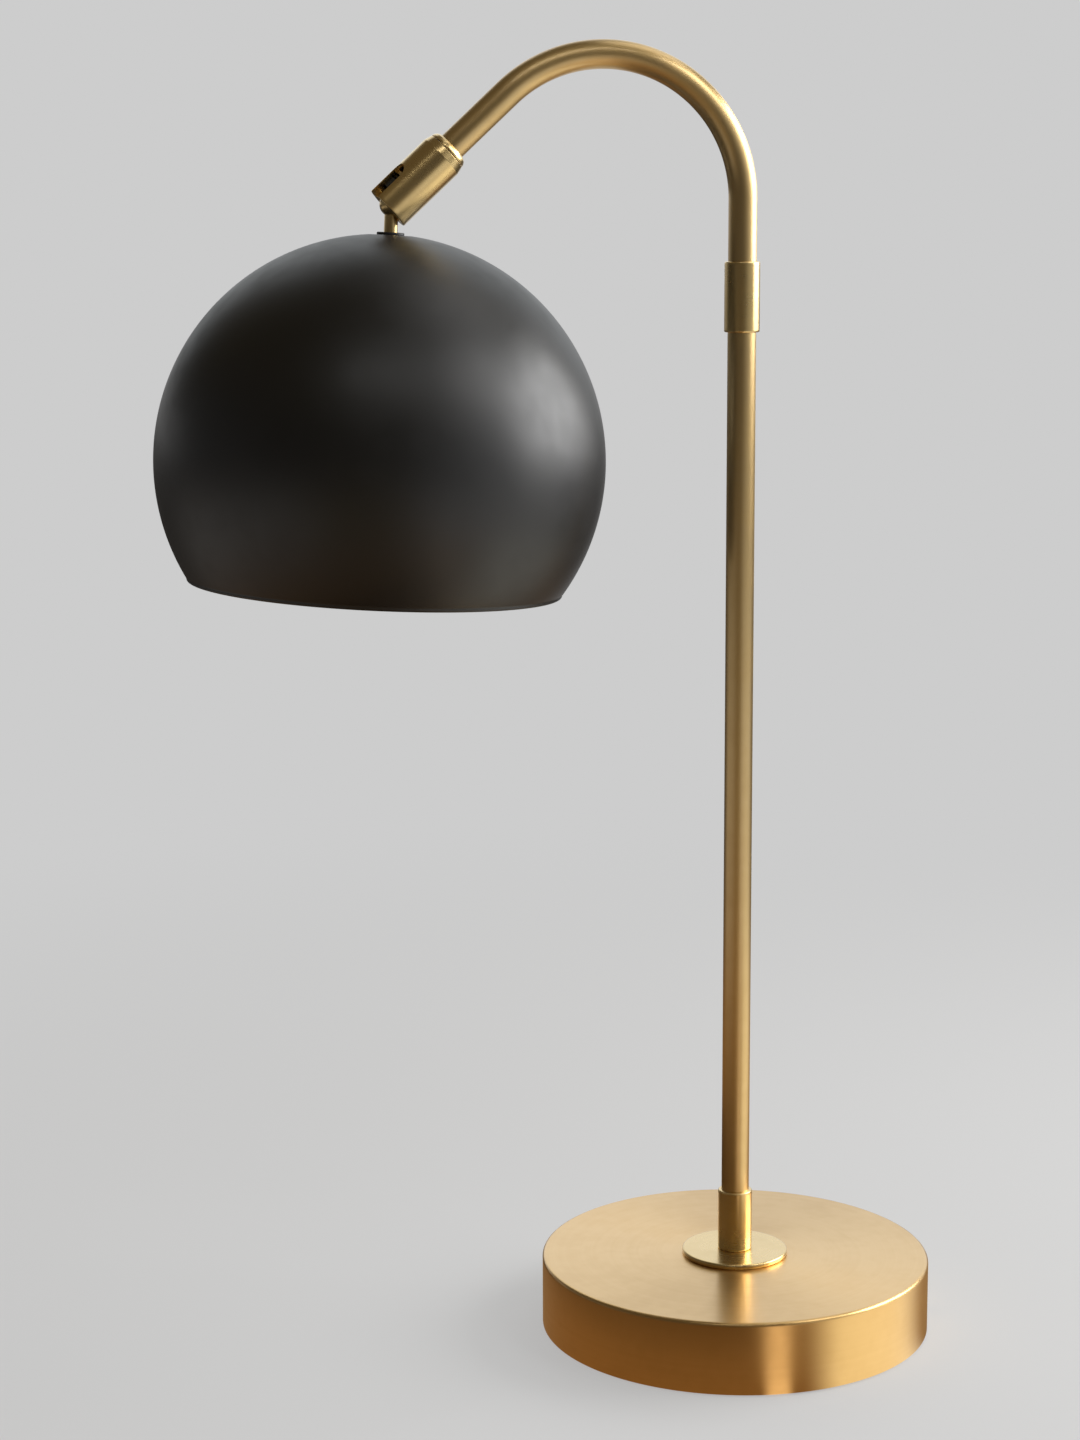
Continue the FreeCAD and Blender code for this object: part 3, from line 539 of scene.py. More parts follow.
def rod_cutter(name, radius, start, end, place, segments=64):
    """Plain round cutter between two points of a frame."""
    line = Vector(end) - Vector(start)
    turn = line.to_track_quat("Z", "Y").to_matrix().to_4x4()
    seat = METRES @ place @ Matrix.Translation(start) @ turn
    mesh = bpy.data.meshes.new(name)
    build = bmesh.new()
    bmesh.ops.create_cone(build, cap_ends=True, segments=segments, radius1=radius, radius2=radius,
                          depth=line.length, matrix=Matrix.Translation((0, 0, line.length / 2)))
    build.to_mesh(mesh)
    build.free()
    mesh.transform(seat)
    return new_object(name, mesh)


def dressed(made, body, slot_name, *nodes, material=None):
    """Gives a finished piece the material of its slot name, puts it on its body and hides the CAD nodes
    that it stands for.
    """
    made.data.materials.clear()
    made.data.materials.append(material or FINISHES[slot_name])
    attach(made, body)
    if nodes:
        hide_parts(*nodes)
    return made


# --- node trees that follow a path or repeat a shape ----------------------------------------------
def shape_tree(name, inputs):
    tree = bpy.data.node_groups.new(name, "GeometryNodeTree")
    tree.interface.new_socket("Geometry", in_out="INPUT", socket_type="NodeSocketGeometry")
    for label, kind, value in inputs:
        socket = tree.interface.new_socket(label, in_out="INPUT", socket_type="NodeSocket" + kind)
        if value is not None:
            socket.default_value = value
    tree.interface.new_socket("Geometry", in_out="OUTPUT", socket_type="NodeSocketGeometry")
    return tree, tree.nodes.new("NodeGroupInput"), tree.nodes.new("NodeGroupOutput")


def finish_tree(tree, given, out, geometry):
    real = linked(tree, tree.nodes.new("GeometryNodeRealizeInstances"), _0=geometry)
    skin = tree.nodes.new("GeometryNodeSetMaterial")
    linked(tree, skin, Geometry=real.outputs[0], Material=given.outputs["Material"])
    tree.links.new(skin.outputs[0], out.inputs[0])


def make_bent_tube():
    """Tube that goes straight up, round a bend and straight on."""
    tree, given, out = shape_tree("bent tube", [
        ("Radius", "Float", 6.0), ("Rise", "Float", 40.0), ("Bend radius", "Float", 60.0),
        ("Bend angle", "Float", 2.3), ("Run", "Float", 30.0), ("Around", "Int", 64), ("Along", "Int", 96),
        ("Material", "Material", None)])
    path = tree.nodes.new("GeometryNodeCurvePrimitiveLine")
    path.mode = "DIRECTION"
    rise, bend_r, bend_turn = (given.outputs[label] for label in ("Rise", "Bend radius", "Bend angle"))
    bend_long = maths(tree, "MULTIPLY", bend_r, bend_turn)
    whole = maths(tree, "ADD", maths(tree, "ADD", rise, given.outputs["Run"]), bend_long)
    linked(tree, path, Start=(0, 0, 0), Direction=(0, 0, 1), Length=whole)
    fine = tree.nodes.new("GeometryNodeResampleCurve")
    linked(tree, fine, Curve=path.outputs[0], Count=given.outputs["Along"])
    place = tree.nodes.new("GeometryNodeInputPosition")
    height = parts(tree, place.outputs[0])[2]
    past = maths(tree, "SUBTRACT", height, rise)
    turn = maths(tree, "DIVIDE", maths(tree, "MAXIMUM", past, 0.0), bend_r)
    turn = maths(tree, "MINIMUM", turn, bend_turn)
    beyond = maths(tree, "MAXIMUM", maths(tree, "SUBTRACT", past, bend_long), 0.0)
    low = maths(tree, "MINIMUM", height, rise)
    sine, cosine = maths(tree, "SINE", turn), maths(tree, "COSINE", turn)
    out_x = maths(tree, "MULTIPLY", maths(tree, "SUBTRACT", cosine, 1.0), bend_r)
    out_x = maths(tree, "SUBTRACT", out_x, maths(tree, "MULTIPLY", beyond, sine))
    out_z = maths(tree, "ADD", low, maths(tree, "MULTIPLY", sine, bend_r))
    out_z = maths(tree, "ADD", out_z, maths(tree, "MULTIPLY", beyond, cosine))
    bent = tree.nodes.new("GeometryNodeSetPosition")
    linked(tree, bent, Geometry=fine.outputs[0], Position=joined(tree, out_x, 0.0, out_z))
    section = tree.nodes.new("GeometryNodeCurvePrimitiveCircle")
    linked(tree, section, Resolution=given.outputs["Around"], Radius=given.outputs["Radius"])
    swept = tree.nodes.new("GeometryNodeCurveToMesh")
    linked(tree, swept, Curve=bent.outputs[0], Profile_Curve=section.outputs[0])
    finish_tree(tree, given, out, swept.outputs[0])
    return tree


def make_ring_of():
    """The same small shape repeated round the Z axis, each copy turned to face outwards."""
    tree, given, out = shape_tree("ring of copies", [
        ("Count", "Int", 24), ("Radius", "Float", 20.0), ("Material", "Material", None)])
    circle = tree.nodes.new("GeometryNodeCurvePrimitiveCircle")
    linked(tree, circle, Resolution=given.outputs["Count"], Radius=given.outputs["Radius"])
    place = tree.nodes.new("GeometryNodeInputPosition")
    facing = tree.nodes.new("FunctionNodeAlignRotationToVector")
    facing.axis = "X"
    linked(tree, facing, Vector=place.outputs[0])
    copies = tree.nodes.new("GeometryNodeInstanceOnPoints")
    linked(tree, copies, Points=circle.outputs[0], Instance=given.outputs["Geometry"],
           Rotation=facing.outputs[0])
    finish_tree(tree, given, out, copies.outputs[0])
    return tree


def make_screw_thread():
    """Rounded thread that winds round the Z axis."""
    tree, given, out = shape_tree("screw thread", [
        ("Turns", "Float", 4.0), ("Pitch", "Float", 3.6), ("Radius", "Float", 13.0),
        ("Thickness", "Float", 0.8), ("Material", "Material", None)])
    spiral = tree.nodes.new("GeometryNodeCurveSpiral")
    height = maths(tree, "MULTIPLY", given.outputs["Turns"], given.outputs["Pitch"])
    linked(tree, spiral, Resolution=48, Rotations=given.outputs["Turns"], Height=height,
           Start_Radius=given.outputs["Radius"], End_Radius=given.outputs["Radius"])
    section = tree.nodes.new("GeometryNodeCurvePrimitiveCircle")
    linked(tree, section, Resolution=10, Radius=given.outputs["Thickness"])
    swept = tree.nodes.new("GeometryNodeCurveToMesh")
    linked(tree, swept, Curve=spiral.outputs[0], Profile_Curve=section.outputs[0], Fill_Caps=True)
    finish_tree(tree, given, out, swept.outputs[0])
    return tree


def grown(made, tree, **inputs):
    """Runs a node tree on an object and leaves its result as a plain mesh."""
    step = made.modifiers.new("grow", "NODES")
    step.node_group = tree
    names = {item.name: item.identifier for item in tree.interface.items_tree if item.in_out == "INPUT"}
    for key, value in inputs.items():
        step[names[key.replace("_", " ")]] = value
    made.update_tag()
    return plain_mesh(made)


BENT_TUBE = make_bent_tube()
RING_OF = make_ring_of()
SCREW_THREAD = make_screw_thread()


def own_places(made, place=IN_STAND):
    """Stores each point's place in the piece's own frame, in millimetres."""
    back = (METRES @ place).inverted()
    layer = made.data.attributes.get("own") or made.data.attributes.new("own", "FLOAT_VECTOR", "POINT")
    for vert in made.data.vertices:
        layer.data[vert.index].vector = back @ vert.co
    return made


# --- stand ----------------------------------------------------------------------------------------
def make_base():
    inner_r = BASE_R - BASE_WALL
    outline = eased([(inner_r, BASE_LIFT, 0.3), (BASE_R, BASE_LIFT, 0.5), (BASE_R, BASE_TOP, BASE_EDGE),
                     (NIPPLE_HOLE_R, BASE_TOP), (NIPPLE_HOLE_R, BASE_TOP - BASE_WALL),
                     (inner_r, BASE_TOP - BASE_WALL, 0.8)])
    base = lathe("turned_base", held(outline), segments=256)
    hole = rod_cutter("outlet", OUTLET_R, (0, 0, BASE_R - 10), (0, 0, BASE_R + 10), IN_OUTLET)
    cut(base, [hole])
    dressed(base, "stand", "brushed_brass", "base_cover")


def make_bush():
    bore_r, lip_r, waist_r, gap, lip = 3.0, 5.1, 4.15, 0.2, 1.6
    low, high = BASE_R - BASE_WALL, BASE_R
    outline = eased([(bore_r, low - lip, 0.5), (lip_r, low - lip, 0.3), (lip_r, low - gap),
                     (waist_r, low - gap), (waist_r, high + gap), (lip_r, high + gap),
                     (lip_r, high + lip, 0.8), (bore_r, high + lip, 0.6)])
    bush = lathe("outlet_bush", outline, IN_OUTLET, 64)
    dressed(bush, "stand", "black_nylon", "cord_bush")


def make_tube(name, radius, bore, low, high, easing, *nodes, slot_name="polished_brass"):
    outline = eased([(bore, low), (radius, low, easing), (radius, high, easing), (bore, high)])
    piece = lathe(name, held(outline), segments=96)
    dressed(piece, "stand", slot_name, *nodes)


def make_stand():
    make_base()
    make_bush()
    make_tube("foot_flange", FLANGE_R, NIPPLE_HOLE_R, BASE_TOP, FLANGE_TOP, 0.9, "stem_flange")
    make_tube("foot_collar", SLEEVE_R, SLEEVE_BORE_R, FLANGE_TOP, FOOT_SLEEVE_TOP, 0.7, "foot_sleeve")
    make_tube("stem_tube", TUBE_R, TUBE_R - TUBE_WALL, FLANGE_TOP, SPLIT_Z, 0.1, "lower_stem",
              slot_name="satin_brass")
    make_tube("joining_collar", SLEEVE_R, SLEEVE_BORE_R, COUPLING_BOTTOM, COUPLING_TOP, 0.7,
              "coupling_sleeve")


# --- arm ------------------------------------------------------------------------------------------
def make_arm():
    tube = new_object("curved_arm", bpy.data.meshes.new("curved_arm"))
    grown(tube, BENT_TUBE, Radius=TUBE_R, Rise=BEND_Z - ARM_BOTTOM, Bend_radius=BEND_R,
          Bend_angle=BEND_TURN, Run=ARM_RUN, Around=72, Along=160, Material=DRAWN_BRASS)
    tube.data.transform(METRES @ Matrix.Translation((0, 0, ARM_BOTTOM)))
    wall = tube.modifiers.new("wall", "SOLIDIFY")
    wall.thickness, wall.offset = TUBE_WALL * MM, -1
    plain_mesh(tube)
    shade_smooth(tube.data)
    along_arm(tube)
    dressed(tube, "arm", "satin_brass", "arm_tube")
    lead_r, journal_r, journal_low, plug_r, plug_long = 3.2, 5.25, 22.0, 5.05, 8
    low, top = BARREL_TOP + 0.3, CAP_TOP
    outline = eased([(lead_r, journal_low), (journal_r, journal_low), (journal_r, low),
                     (SHOULDER_R - 0.05, low, 0.15), (9.2, 33.9, 0.6), (8.55, 35.0, 0.5),
                     (CAP_END_R, top, 0.25), (plug_r, top), (plug_r, top + plug_long),
                     (lead_r, top + plug_long)])
    cap = lathe("barrel_end_cap", outline, IN_BARREL, 96)
    dressed(cap, "arm", "polished_brass", "barrel_cap")


def along_arm(tube):
    """Own places for the bent tube as if it were straight, and a map whose first axis runs along it."""
    layer = tube.data.attributes.new("own", "FLOAT_VECTOR", "POINT")
    straight = []
    for vert in tube.data.vertices:
        x, y, z = vert.co.x / MM, vert.co.y / MM, vert.co.z / MM
        if z <= BEND_Z and x > -BEND_R:
            spot = Vector((x, y, z - BEND_Z))
        else:
            from_centre = Vector((x + BEND_R, z - BEND_Z))
            angle = math.atan2(from_centre.y, from_centre.x)
            if angle < 0:
                angle += 2 * math.pi
            if angle <= BEND_TURN:
                spot = Vector((from_centre.length - BEND_R, y, angle * BEND_R))
            else:
                rest = Vector((x, 0, z)) - bend_end
                side = Vector((math.cos(BEND_TURN), 0, math.sin(BEND_TURN)))
                spot = Vector((rest.dot(side), y, BEND_TURN * BEND_R + rest.dot(run)))
        straight.append(spot)
        layer.data[vert.index].vector = spot
    map_layer = tube.data.uv_layers.new(name="turn")
    for face in tube.data.polygons:
        angles = [math.atan2(straight[v].y, straight[v].x) for v in face.vertices]
        wraps = max(angles) - min(angles) > math.pi
        for loop, vert, angle in zip(face.loop_indices, face.vertices, angles):
            turn = angle + 2 * math.pi if wraps and angle < 0 else angle
            map_layer.data[loop].uv = (straight[vert].z * 0.01, turn / (2 * math.pi))


# --- ball swivel ----------------------------------------------------------------------------------
def make_swivel():
    mouth_r, end_bore_r, side_top, bore_top, seat_top, seat_gap = 7.7, 5.3, 20.0, 26.0, 2.5, 0.08
    seat_r = BALL_R + seat_gap
    seat = [(math.sqrt(seat_r ** 2 - z ** 2), z) for z in (0, -0.45, -0.9, -1.35, -1.8)]
    mouth = eased([(mouth_r, MOUTH_Z), (BARREL_R, MOUTH_Z, 0.6), (BARREL_R, side_top)])[1:-1]
    side = [(BARREL_R, MOUTH_Z + 1.5 + 1.25 * i) for i in range(23)]
    shoulder = eased([(BARREL_R, side_top), (BARREL_R, SHOULDER_Z, 2.0), (SHOULDER_R, BARREL_TOP, 0.2),
                      (end_bore_r, BARREL_TOP)], 8)[1:-1]
    outline = [(mouth_r, MOUTH_Z), *mouth, *side, *shoulder, (end_bore_r, BARREL_TOP),
               (end_bore_r, bore_top), (BARREL_BORE_R, bore_top), (BARREL_BORE_R, seat_top),
               (seat_r, seat_top), *seat]
    barrel = lathe("swivel_housing", held(outline, 0.25, 2.5), IN_BARREL, 128)
    lean, reach = math.radians(47.2), 24
    relief_end = (reach * math.sin(lean), 0, -reach * math.cos(lean))
    relief = rod_cutter("relief", NECK_R + 0.3, (0, 0, 0), relief_end, IN_BARREL)
    cut(barrel, [slot_cutter(), relief], 0.22)
    own_places(barrel, IN_BARREL)
    dressed(barrel, "barrel", "polished_brass", "swivel_barrel")
    ring_bore_r, easing = 4.2, 0.3
    outline = eased([(ring_bore_r, RING_LOW, easing), (BARREL_BORE_R, RING_LOW, easing),
                     (BARREL_BORE_R, RING_HIGH, easing), (ring_bore_r, RING_HIGH, easing)])
    ring = lathe("preload_nut", outline, IN_BARREL, 96)
    dressed(ring, "barrel", "polished_brass", "preload_ring")
    ball = arc(0, 0, BALL_R, -56.2, 53.6, 26)
    outline = [*eased([(NECK_BORE_R, NECK_END), (NECK_R, NECK_END, 0.3), (NECK_R, -8.0)])[:-1],
               (NECK_R, -5.2), (NECK_R + 0.03, -4.8), *ball, (NECK_BORE_R, 0.0)]
    neck = lathe("ball_and_neck", held(outline, 0.2, 2.0), IN_HEAD, 72)
    dressed(neck, "neck", "polished_brass", "ball_neck")


def slot_cutter():
    """Round-ended slot on the barrel's outer side, open at the mouth."""
    half, end_z, reach = 4.0, 10.9, 16.0
    build = bmesh.new()
    outline = [(-half, -8.0), (half, -8.0), *arc(0, end_z, half, 0, 180, 20)]
    near = [build.verts.new((0.0, y, z)) for y, z in outline]
    far = [build.verts.new((-reach, y, z)) for y, z in outline]
    build.faces.new(near)
    build.faces.new(far[::-1])
    for i in range(len(outline)):
        k = (i + 1) % len(outline)
        build.faces.new((near[i], far[i], far[k], near[k]))
    bmesh.ops.recalc_face_normals(build, faces=build.faces[:])
    mesh = bpy.data.meshes.new("slot")
    build.to_mesh(mesh)
    build.free()
    mesh.transform(METRES @ IN_BARREL @ Matrix.Rotation(SLOT_TURN, 4, "Z"))
    return new_object("slot", mesh)


# --- shade, holder and bulb -----------------------------------------------------------------------
def make_shade():
    """Spun dome with its rolled rim; the outside and the roll are black, the inside is white."""
    inner_r, inner_top = SHADE_R - SHADE_WALL, SHADE_TOP - SHADE_WALL
    start = math.degrees(math.acos(SHADE_FLAT_R / SHADE_R))
    cut_angle = -math.degrees(math.asin(SHADE_CUT / SHADE_R))
    rim_z = SHADE_CENTRE - SHADE_CUT
    rim_r = math.sqrt(SHADE_R ** 2 - SHADE_CUT ** 2)
    roll = arc(rim_r - 1.1, rim_z, 1.2, 12, -192, 16)
    outside = arc(0, SHADE_CENTRE, SHADE_R, start, cut_angle + 0.7, 84)
    inside = arc(0, SHADE_CENTRE, inner_r, cut_angle + 0.8, math.degrees(math.acos(9.3 / inner_r)), 80)
    inside = [point for point in inside if point[1] < inner_top]
    outline = [(NECK_HOLE_R, SHADE_TOP), (SHADE_FLAT_R - 1.2, SHADE_TOP), *outside, *roll, *inside,
               (NECK_HOLE_R, inner_top)]
    dome = lathe("spun_shade", outline, IN_HEAD, 256, sharp=60)
    dressed(dome, "head", "black_paint", "shade")
    dome.data.materials.append(INSIDE_WHITE)
    own = dome.data.attributes["own"].data
    for face in dome.data.polygons:
        middle = sum((Vector(own[v].vector) for v in face.vertices), Vector()) / len(face.vertices)
        from_centre = (middle - Vector((0, 0, SHADE_CENTRE))).length
        under = from_centre < SHADE_R - SHADE_WALL * 0.6 and middle.z > rim_z + 1.4
        face.material_index = 1 if under else 0


def make_washer():
    radius, top = 6.0, SHADE_TOP + 1.2
    outline = eased([(NECK_HOLE_R, SHADE_TOP), (radius, SHADE_TOP, 0.15), (radius, top, 0.5),
                     (NECK_HOLE_R, top)])
    dressed(lathe("shade_seat", outline, IN_HEAD, 64), "head", "black_nylon", "shade_washer")


def make_holder():
    wall, rise, crown_r = 1.9, 9.0, 9.0
    shoulder = HOLDER_TOP - rise
    inner_r, inset = HOLDER_R - wall, HOLDER_R - crown_r
    bow = (rise ** 2 + inset ** 2) / (2 * inset)
    sweep = math.degrees(math.asin(rise / bow))
    outside = arc(HOLDER_R - bow, shoulder, bow, 0, sweep, 12)
    inside = arc(inner_r - bow, shoulder, bow, sweep - 3, 0, 10)
    outline = [(inner_r, HOLDER_SEAM), (HOLDER_R - 0.3, HOLDER_SEAM), (HOLDER_R, HOLDER_SEAM + 0.3),
               *outside, (NECK_HOLE_R, HOLDER_TOP), (NECK_HOLE_R, HOLDER_TOP - wall), *inside]
    cap = lathe("holder_crown", outline, IN_HEAD, 96, sharp=50)
    dressed(cap, "head", "black_phenolic", "holder_cap")
    collar_r, collar_bore_r, collar_top = HOLDER_R - 1.95, HOLDER_R - 3.95, -26.0
    foot_r, mouth_r, lead_r, web_low, web_high = 20.7, 15.2, 2.4, -36.0, -30.0
    outline = eased([
        (collar_bore_r, collar_top), (collar_r, collar_top, 0.3), (collar_r, HOLDER_SEAM),
        (HOLDER_R, HOLDER_SEAM, 0.4), (HOLDER_R, HOLDER_MOUTH + 3, 0.5), (foot_r, HOLDER_MOUTH + 2, 0.4),
        (foot_r, HOLDER_MOUTH, 0.6), (mouth_r, HOLDER_MOUTH, 0.5), (mouth_r, web_low), (lead_r, web_low),
        (lead_r, web_high), (collar_bore_r, web_high)])
    skirt = lathe("holder_skirt", held(outline), IN_HEAD, 96)
    dressed(skirt, "head", "black_phenolic", "holder_body")
    ribs = new_object("holder_ribs", rib_mesh())
    grown(ribs, RING_OF, Count=36, Radius=HOLDER_R - 0.1, Material=FINISHES["black_phenolic"])
    ribs.data.transform(METRES @ IN_HEAD)
    own_places(ribs, IN_HEAD)
    shade_smooth(ribs.data)
    dressed(ribs, "head", "black_phenolic")


def rib_mesh():
    """One upright rounded rib of the holder's grip."""
    low, high, proud, half = -55.0, -36.0, 0.75, 0.55
    build = bmesh.new()
    bmesh.ops.create_cube(build, size=1.0)
    for vert in build.verts:
        x, y, z = vert.co
        vert.co = Vector((x * 2 * proud, y * 2 * half, low + (z + 0.5) * (high - low)))
    bmesh.ops.bevel(build, geom=build.edges[:] + build.verts[:], offset=0.32, segments=2, profile=0.5,
                    affect="EDGES")
    mesh = bpy.data.meshes.new("rib")
    build.to_mesh(mesh)
    build.free()
    return mesh


def make_bulb():
    flare_r, wall, collar_r, throat_r = 30.0, 0.8, 13.9, 13.2
    flare_x = BULB_NECK_R + flare_r
    rise = math.sqrt((BULB_R + flare_r) ** 2 - flare_x ** 2)
    angle = math.degrees(math.atan2(rise, flare_x))
    flare_z = BULB_CENTRE + rise
    outside = [(0.0, BULB_CENTRE - BULB_R), *arc(0, BULB_CENTRE, BULB_R, -88, angle, 44),
               *arc(flare_x, flare_z, flare_r, 180 + angle, 180, 14)[1:], (BULB_NECK_R, BULB_NECK_TOP)]
    end = [(collar_r, BULB_NECK_TOP), (throat_r, BULB_NECK_TOP), (throat_r, BULB_NECK_TOP - 0.8)]
    inside = [*arc(flare_x, flare_z, flare_r + wall, 180, 180 + angle, 10)[1:],
              *arc(0, BULB_CENTRE, BULB_R - wall, angle - 1, -88, 30), (0.0, BULB_CENTRE - BULB_R + wall)]
    glass = lathe("opal_bulb", outside + end + inside, IN_HEAD, 96, closed=False, sharp=50)
    dressed(glass, "head", "opal_glass", "bulb_glass")
    thread = new_object("bulb_thread", bpy.data.meshes.new("bulb_thread"))
    grown(thread, SCREW_THREAD, Turns=4.0, Pitch=3.63, Radius=12.25, Thickness=0.75,
          Material=FINISHES["nickel"])
    thread.data.transform(METRES @ IN_HEAD @ Matrix.Translation((0, 0, -57.5)))
    own_places(thread, IN_HEAD)
    shade_smooth(thread.data)
    dressed(thread, "head", "nickel")


def dress_solids():
    """Finishes for the CAD solids that show as they are."""
    slots = {part["node"]: part["material_slot"] for part in frame["record"]["subparts"]}
    for node, made in frame["nodes"].items():
        material = BRASS_SOLID if slots[node] == "polished_brass" else FINISHES[slots[node]]
        made.data.materials.clear()
        made.data.materials.append(material)


# --- studio ---------------------------------------------------------------------------------------
# The plain grey that the camera sees behind the lamp, and how much of it lies over the floor close by.
GREY = 0.61
PLAIN = (GREY, GREY, GREY, 1)
PLAIN_NEAR = 0.7
# What the gloss of the brass and of the paint sees: the room round the lamp, which lights it, and the
# floor, whose colours here are painted reflections that glow for glossy rays only.
DIM_ROOM, CEILING, BACKDROP = (0.06, 0.053, 0.045, 1), (0.1, 0.08, 0.05, 1), (0.94, 0.98, 1.0, 1)
LEFT_WALL, RIGHT_WALL = (0.1, 0.1, 0.1, 1), (0.5, 0.5, 0.5, 1)
# Painted reflections on the metal: the warm near floor paints the base's side brown, the shaded floor is a
# painted shade under the lamp's shade, the strip and right highlights paint bright bands on the base's
# side, and the middle and far floor paint the stem's and the shade's reflections.
NEAR_FLOOR, SHADED_FLOOR = (0.26, 0.145, 0.06, 1), (0.05, 0.03, 0.015, 1)
PAINTED_STRIP_HIGHLIGHT, PAINTED_RIGHT_HIGHLIGHT = (1.25, 1.0, 0.75, 1), (1.2, 1.15, 1.0, 1)
MIDDLE_FRONT, MIDDLE_LEFT = (0.22, 0.17, 0.1, 1), (0.44, 0.41, 0.38, 1)
MIDDLE_RIGHT, FAR_FLOOR = (0.74, 0.74, 0.74, 1), (0.05, 0.045, 0.04, 1)
# Where those painted reflections lie on the floor: in degrees to the right of the camera's side, and in
# metres.
STRIP_HIGHLIGHT_SPAN, RIGHT_HIGHLIGHT_SPAN = (7.5, 11.5, 14.5, 18), (20, 34, 58, 80)
SHADED_SPAN, MIDDLE_FROM, FAR_FROM = (0.13, 0.18, 0.3, 0.4), (0.4, 0.95), (1.5, 3.5)
# The place between stem and shade that the lights are turned to.
LIT_POINT = (-0.06, 0, 0.3)


def soft_light(name, bearing, height, distance, width, tall, radiance):
    """Soft rectangular light; bearing and height are in degrees, the bearing from the camera's side of the
    lamp to the right."""
    turn, level = math.radians(bearing), math.radians(height)
    target = Vector(LIT_POINT)
    out = -AHEAD * math.cos(turn) + RIGHT * math.sin(turn)
    place = target + (out * math.cos(level) + Vector((0, 0, 1)) * math.sin(level)) * distance
    data = bpy.data.lights.new(name, "AREA")
    data.shape, data.size, data.size_y = "RECTANGLE", width, tall
    data.energy = radiance * math.pi * width * tall
    lamp = bpy.data.objects.new(name, data)
    lamp.location = place
    lamp.rotation_euler = (target - place).to_track_quat("-Z", "Y").to_euler()
    scene.collection.objects.link(lamp)


def plain_share(tree, metal_sees):
    """How much of the plain grey a ray sees: all of it for the camera, and for metal as far as given."""
    path = tree.nodes.new("ShaderNodeLightPath")
    metal = maths(tree, "MULTIPLY", path.outputs["Is Glossy Ray"], metal_sees)
    direct = maths(tree, "ADD", path.outputs["Is Camera Ray"], path.outputs["Is Transmission Ray"])
    return maths(tree, "ADD", direct, metal, True)


def make_world():
    """Studio with a pale backdrop behind the lamp, a grey wall at its right and a dim room elsewhere."""
    world = bpy.data.worlds.new("studio")
    world.use_nodes = True
    tree = world.node_tree
    tree.nodes.clear()
    direction = tree.nodes.new("ShaderNodeTexCoord").outputs["Generated"]
    behind = vector_maths(tree, "DOT_PRODUCT", direction, tuple(AHEAD))
    right = vector_maths(tree, "DOT_PRODUCT", direction, tuple(RIGHT))
    height = parts(tree, direction)[2]
    level = maths(tree, "SQRT", maths(tree, "SUBTRACT", 1.0, maths(tree, "MULTIPLY", height, height)))
    straight = maths(tree, "DIVIDE", behind, level)
    low = ramp(tree, height, 0.6, 0.2)
    left = maths(tree, "MULTIPLY", ramp(tree, right, -0.8, -0.97), low)
    room = blended(tree, ramp(tree, height, 0.25, 0.6), DIM_ROOM, CEILING)
    room = blended(tree, left, room, LEFT_WALL)
    wall = maths(tree, "MULTIPLY", ramp(tree, right, 0.38, 0.88), low)
    room = blended(tree, wall, room, RIGHT_WALL)
    card = maths(tree, "MULTIPLY", ramp(tree, straight, 0.72, 0.88), ramp(tree, height, 0.85, 0.7))
    room = blended(tree, card, room, BACKDROP)
    lit = linked(tree, tree.nodes.new("ShaderNodeBackground"), Color=room, Strength=1.0)
    plain = linked(tree, tree.nodes.new("ShaderNodeBackground"), Color=PLAIN, Strength=1.0)
    low_behind = maths(tree, "MULTIPLY", ramp(tree, behind, 0.2, 0.6), ramp(tree, height, 0.16, 0.08))
    both = linked(tree, tree.nodes.new("ShaderNodeMixShader"), _0=plain_share(tree, low_behind),
                  _1=lit.outputs[0], _2=plain.outputs[0])
    out = tree.nodes.new("ShaderNodeOutputWorld")
    tree.links.new(both.outputs[0], out.inputs["Surface"])
    scene.world = world


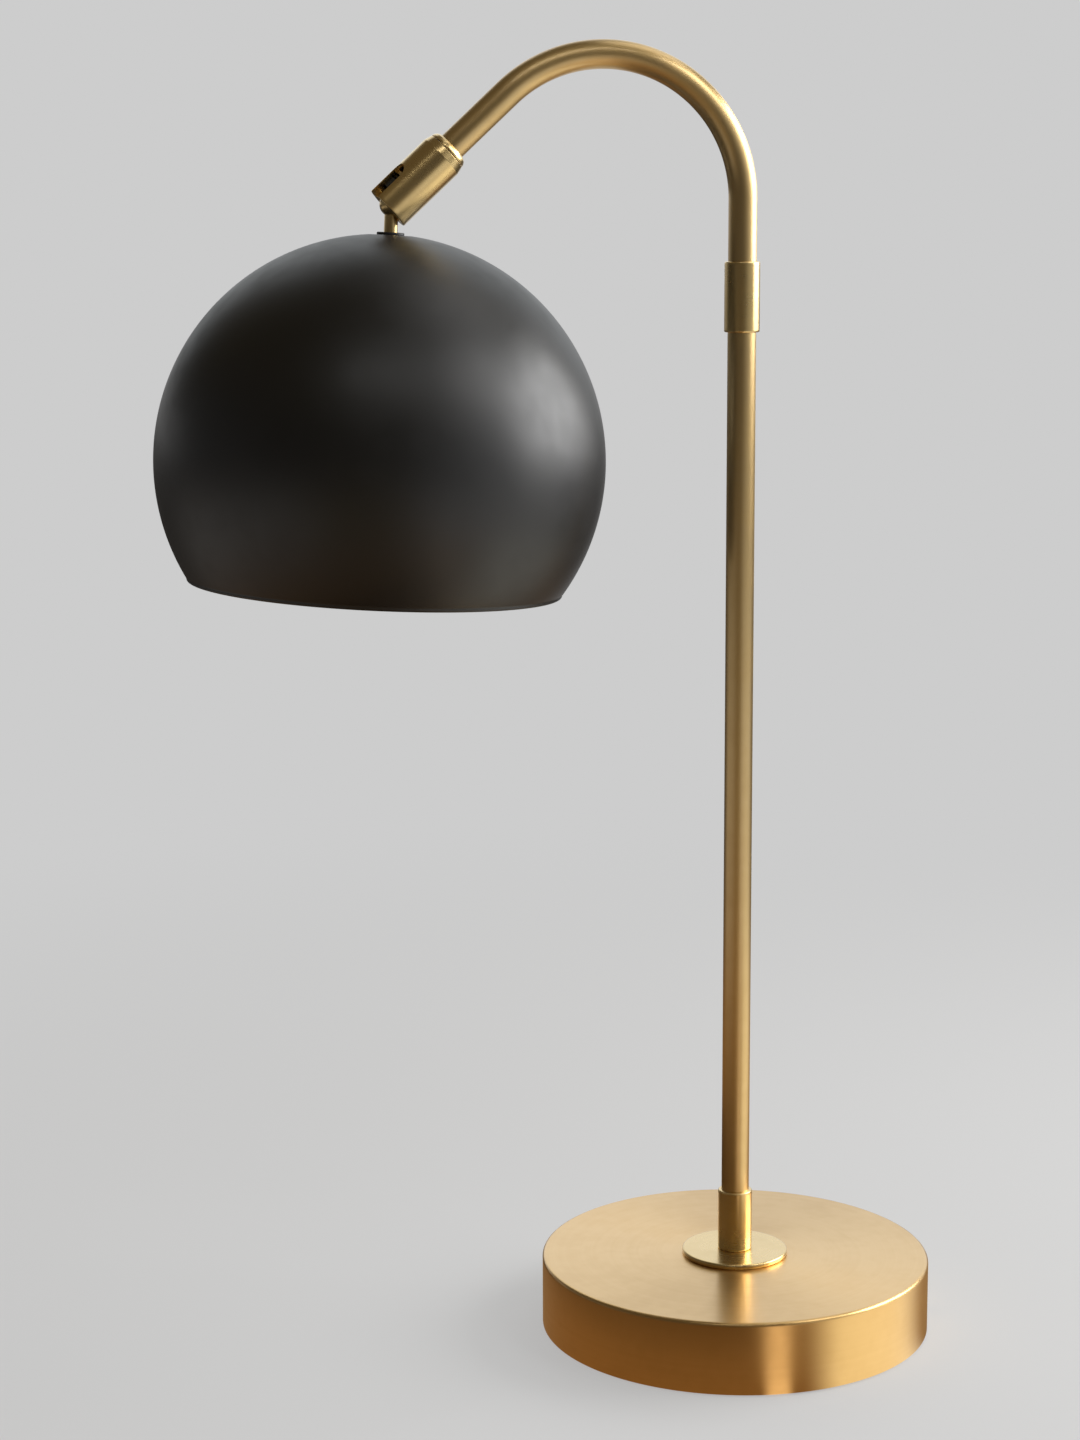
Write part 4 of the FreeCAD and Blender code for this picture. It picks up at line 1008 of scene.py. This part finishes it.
def make_floor():
    """Pale matt floor that keeps the lamp's shadow and fades into the plain background. For glossy rays it
    glows instead with painted reflections: dim on the camera's side of the lamp, with a painted shade patch
    under the shade and painted highlights towards the right and in a strip that the base's side mirrors."""
    build = bmesh.new()
    bmesh.ops.create_circle(build, cap_ends=True, segments=96, radius=30.0)
    mesh = bpy.data.meshes.new("floor")
    build.to_mesh(mesh)
    build.free()
    floor = new_object("floor", mesh)
    material, tree, shader = finish("pale floor", (0.85, 0.85, 0.85), 0.9, Specular_IOR_Level=0.1)
    place = tree.nodes.new("ShaderNodeTexCoord").outputs["Object"]
    bumped(tree, shader, noise(tree, place, 60.0, 3.0), 0.05, 0.3)
    away = ramp(tree, vector_maths(tree, "LENGTH", place), 0.25, 1.2, PLAIN_NEAR, 1.0)
    plain = linked(tree, tree.nodes.new("ShaderNodeEmission"), Color=PLAIN, Strength=1.0)
    seen = linked(tree, tree.nodes.new("ShaderNodeMixShader"), _0=away, _1=shader.outputs[0],
                  _2=plain.outputs[0])
    ahead = vector_maths(tree, "DOT_PRODUCT", place, tuple(AHEAD))
    right = vector_maths(tree, "DOT_PRODUCT", place, tuple(RIGHT))
    bearing = maths(tree, "ARCTAN2", right, maths(tree, "MULTIPLY", ahead, -1.0))
    bearing = maths(tree, "MULTIPLY", bearing, math.degrees(1.0))
    aside = maths(tree, "ABSOLUTE", bearing)
    length = maths(tree, "MAXIMUM", vector_maths(tree, "LENGTH", place), BASE_R * MM)
    # A ray that leaves the base's side meets the floor at a bearing that is nearly twice that of the side.
    widening = maths(tree, "SUBTRACT", 2.0, maths(tree, "DIVIDE", BASE_R * MM, length))
    facing = maths(tree, "DIVIDE", bearing, widening)
    # The strip and the right side glow paint highlights on the base's side; the shaded patch paints shade
    # under the lamp's shade.
    strip, side = between(tree, facing, *STRIP_HIGHLIGHT_SPAN), between(tree, facing, *RIGHT_HIGHLIGHT_SPAN)
    shaded = maths(tree, "MULTIPLY", between(tree, length, *SHADED_SPAN), ramp(tree, bearing, 45, 5))
    near = blended(tree, shaded, NEAR_FLOOR, SHADED_FLOOR)
    near = blended(tree, side, blended(tree, strip, near, PAINTED_STRIP_HIGHLIGHT), PAINTED_RIGHT_HIGHLIGHT)
    middle = blended(tree, ramp(tree, bearing, 8, 32), MIDDLE_FRONT, MIDDLE_RIGHT)
    middle = blended(tree, ramp(tree, bearing, -15, -50), middle, MIDDLE_LEFT)
    middle = blended(tree, ramp(tree, aside, 95, 125), middle, FAR_FLOOR)
    shown = blended(tree, ramp(tree, length, *MIDDLE_FROM), near, middle)
    shown = blended(tree, ramp(tree, length, *FAR_FROM), shown, FAR_FLOOR)
    shown = blended(tree, ramp(tree, aside, 158, 175), shown, PLAIN)
    # Painted reflection: the floor glows with these colours for glossy rays only.
    painted_reflection = linked(tree, tree.nodes.new("ShaderNodeEmission"), Color=shown, Strength=1.0)
    glossy = tree.nodes.new("ShaderNodeLightPath").outputs["Is Glossy Ray"]
    both = linked(tree, tree.nodes.new("ShaderNodeMixShader"), _0=glossy, _1=seen.outputs[0],
                  _2=painted_reflection.outputs[0])
    tree.links.new(both.outputs[0], tree.nodes["Material Output"].inputs["Surface"])
    floor.data.materials.append(material)


# Name, bearing, height in degrees, then distance, width and tallness in metres, and radiance.
SOFT_LIGHTS = [
    ("right softbox", 106, 22, 1.5, 1.3, 0.9, 6.4),
    ("upper right softbox", 66, 44, 1.5, 0.6, 0.5, 3.6),
    ("overhead softbox", 115, 68, 1.4, 0.7, 0.7, 1.1),
    ("top strip", 8, 50, 1.5, 0.9, 0.14, 3.2),
]


def make_studio():
    make_world()
    make_floor()
    for light in SOFT_LIGHTS:
        soft_light(*light)


make_studio()
dress_solids()
make_stand()
make_arm()
make_swivel()
make_shade()
make_washer()
make_holder()
make_bulb()

scene.view_settings.view_transform = "Standard"
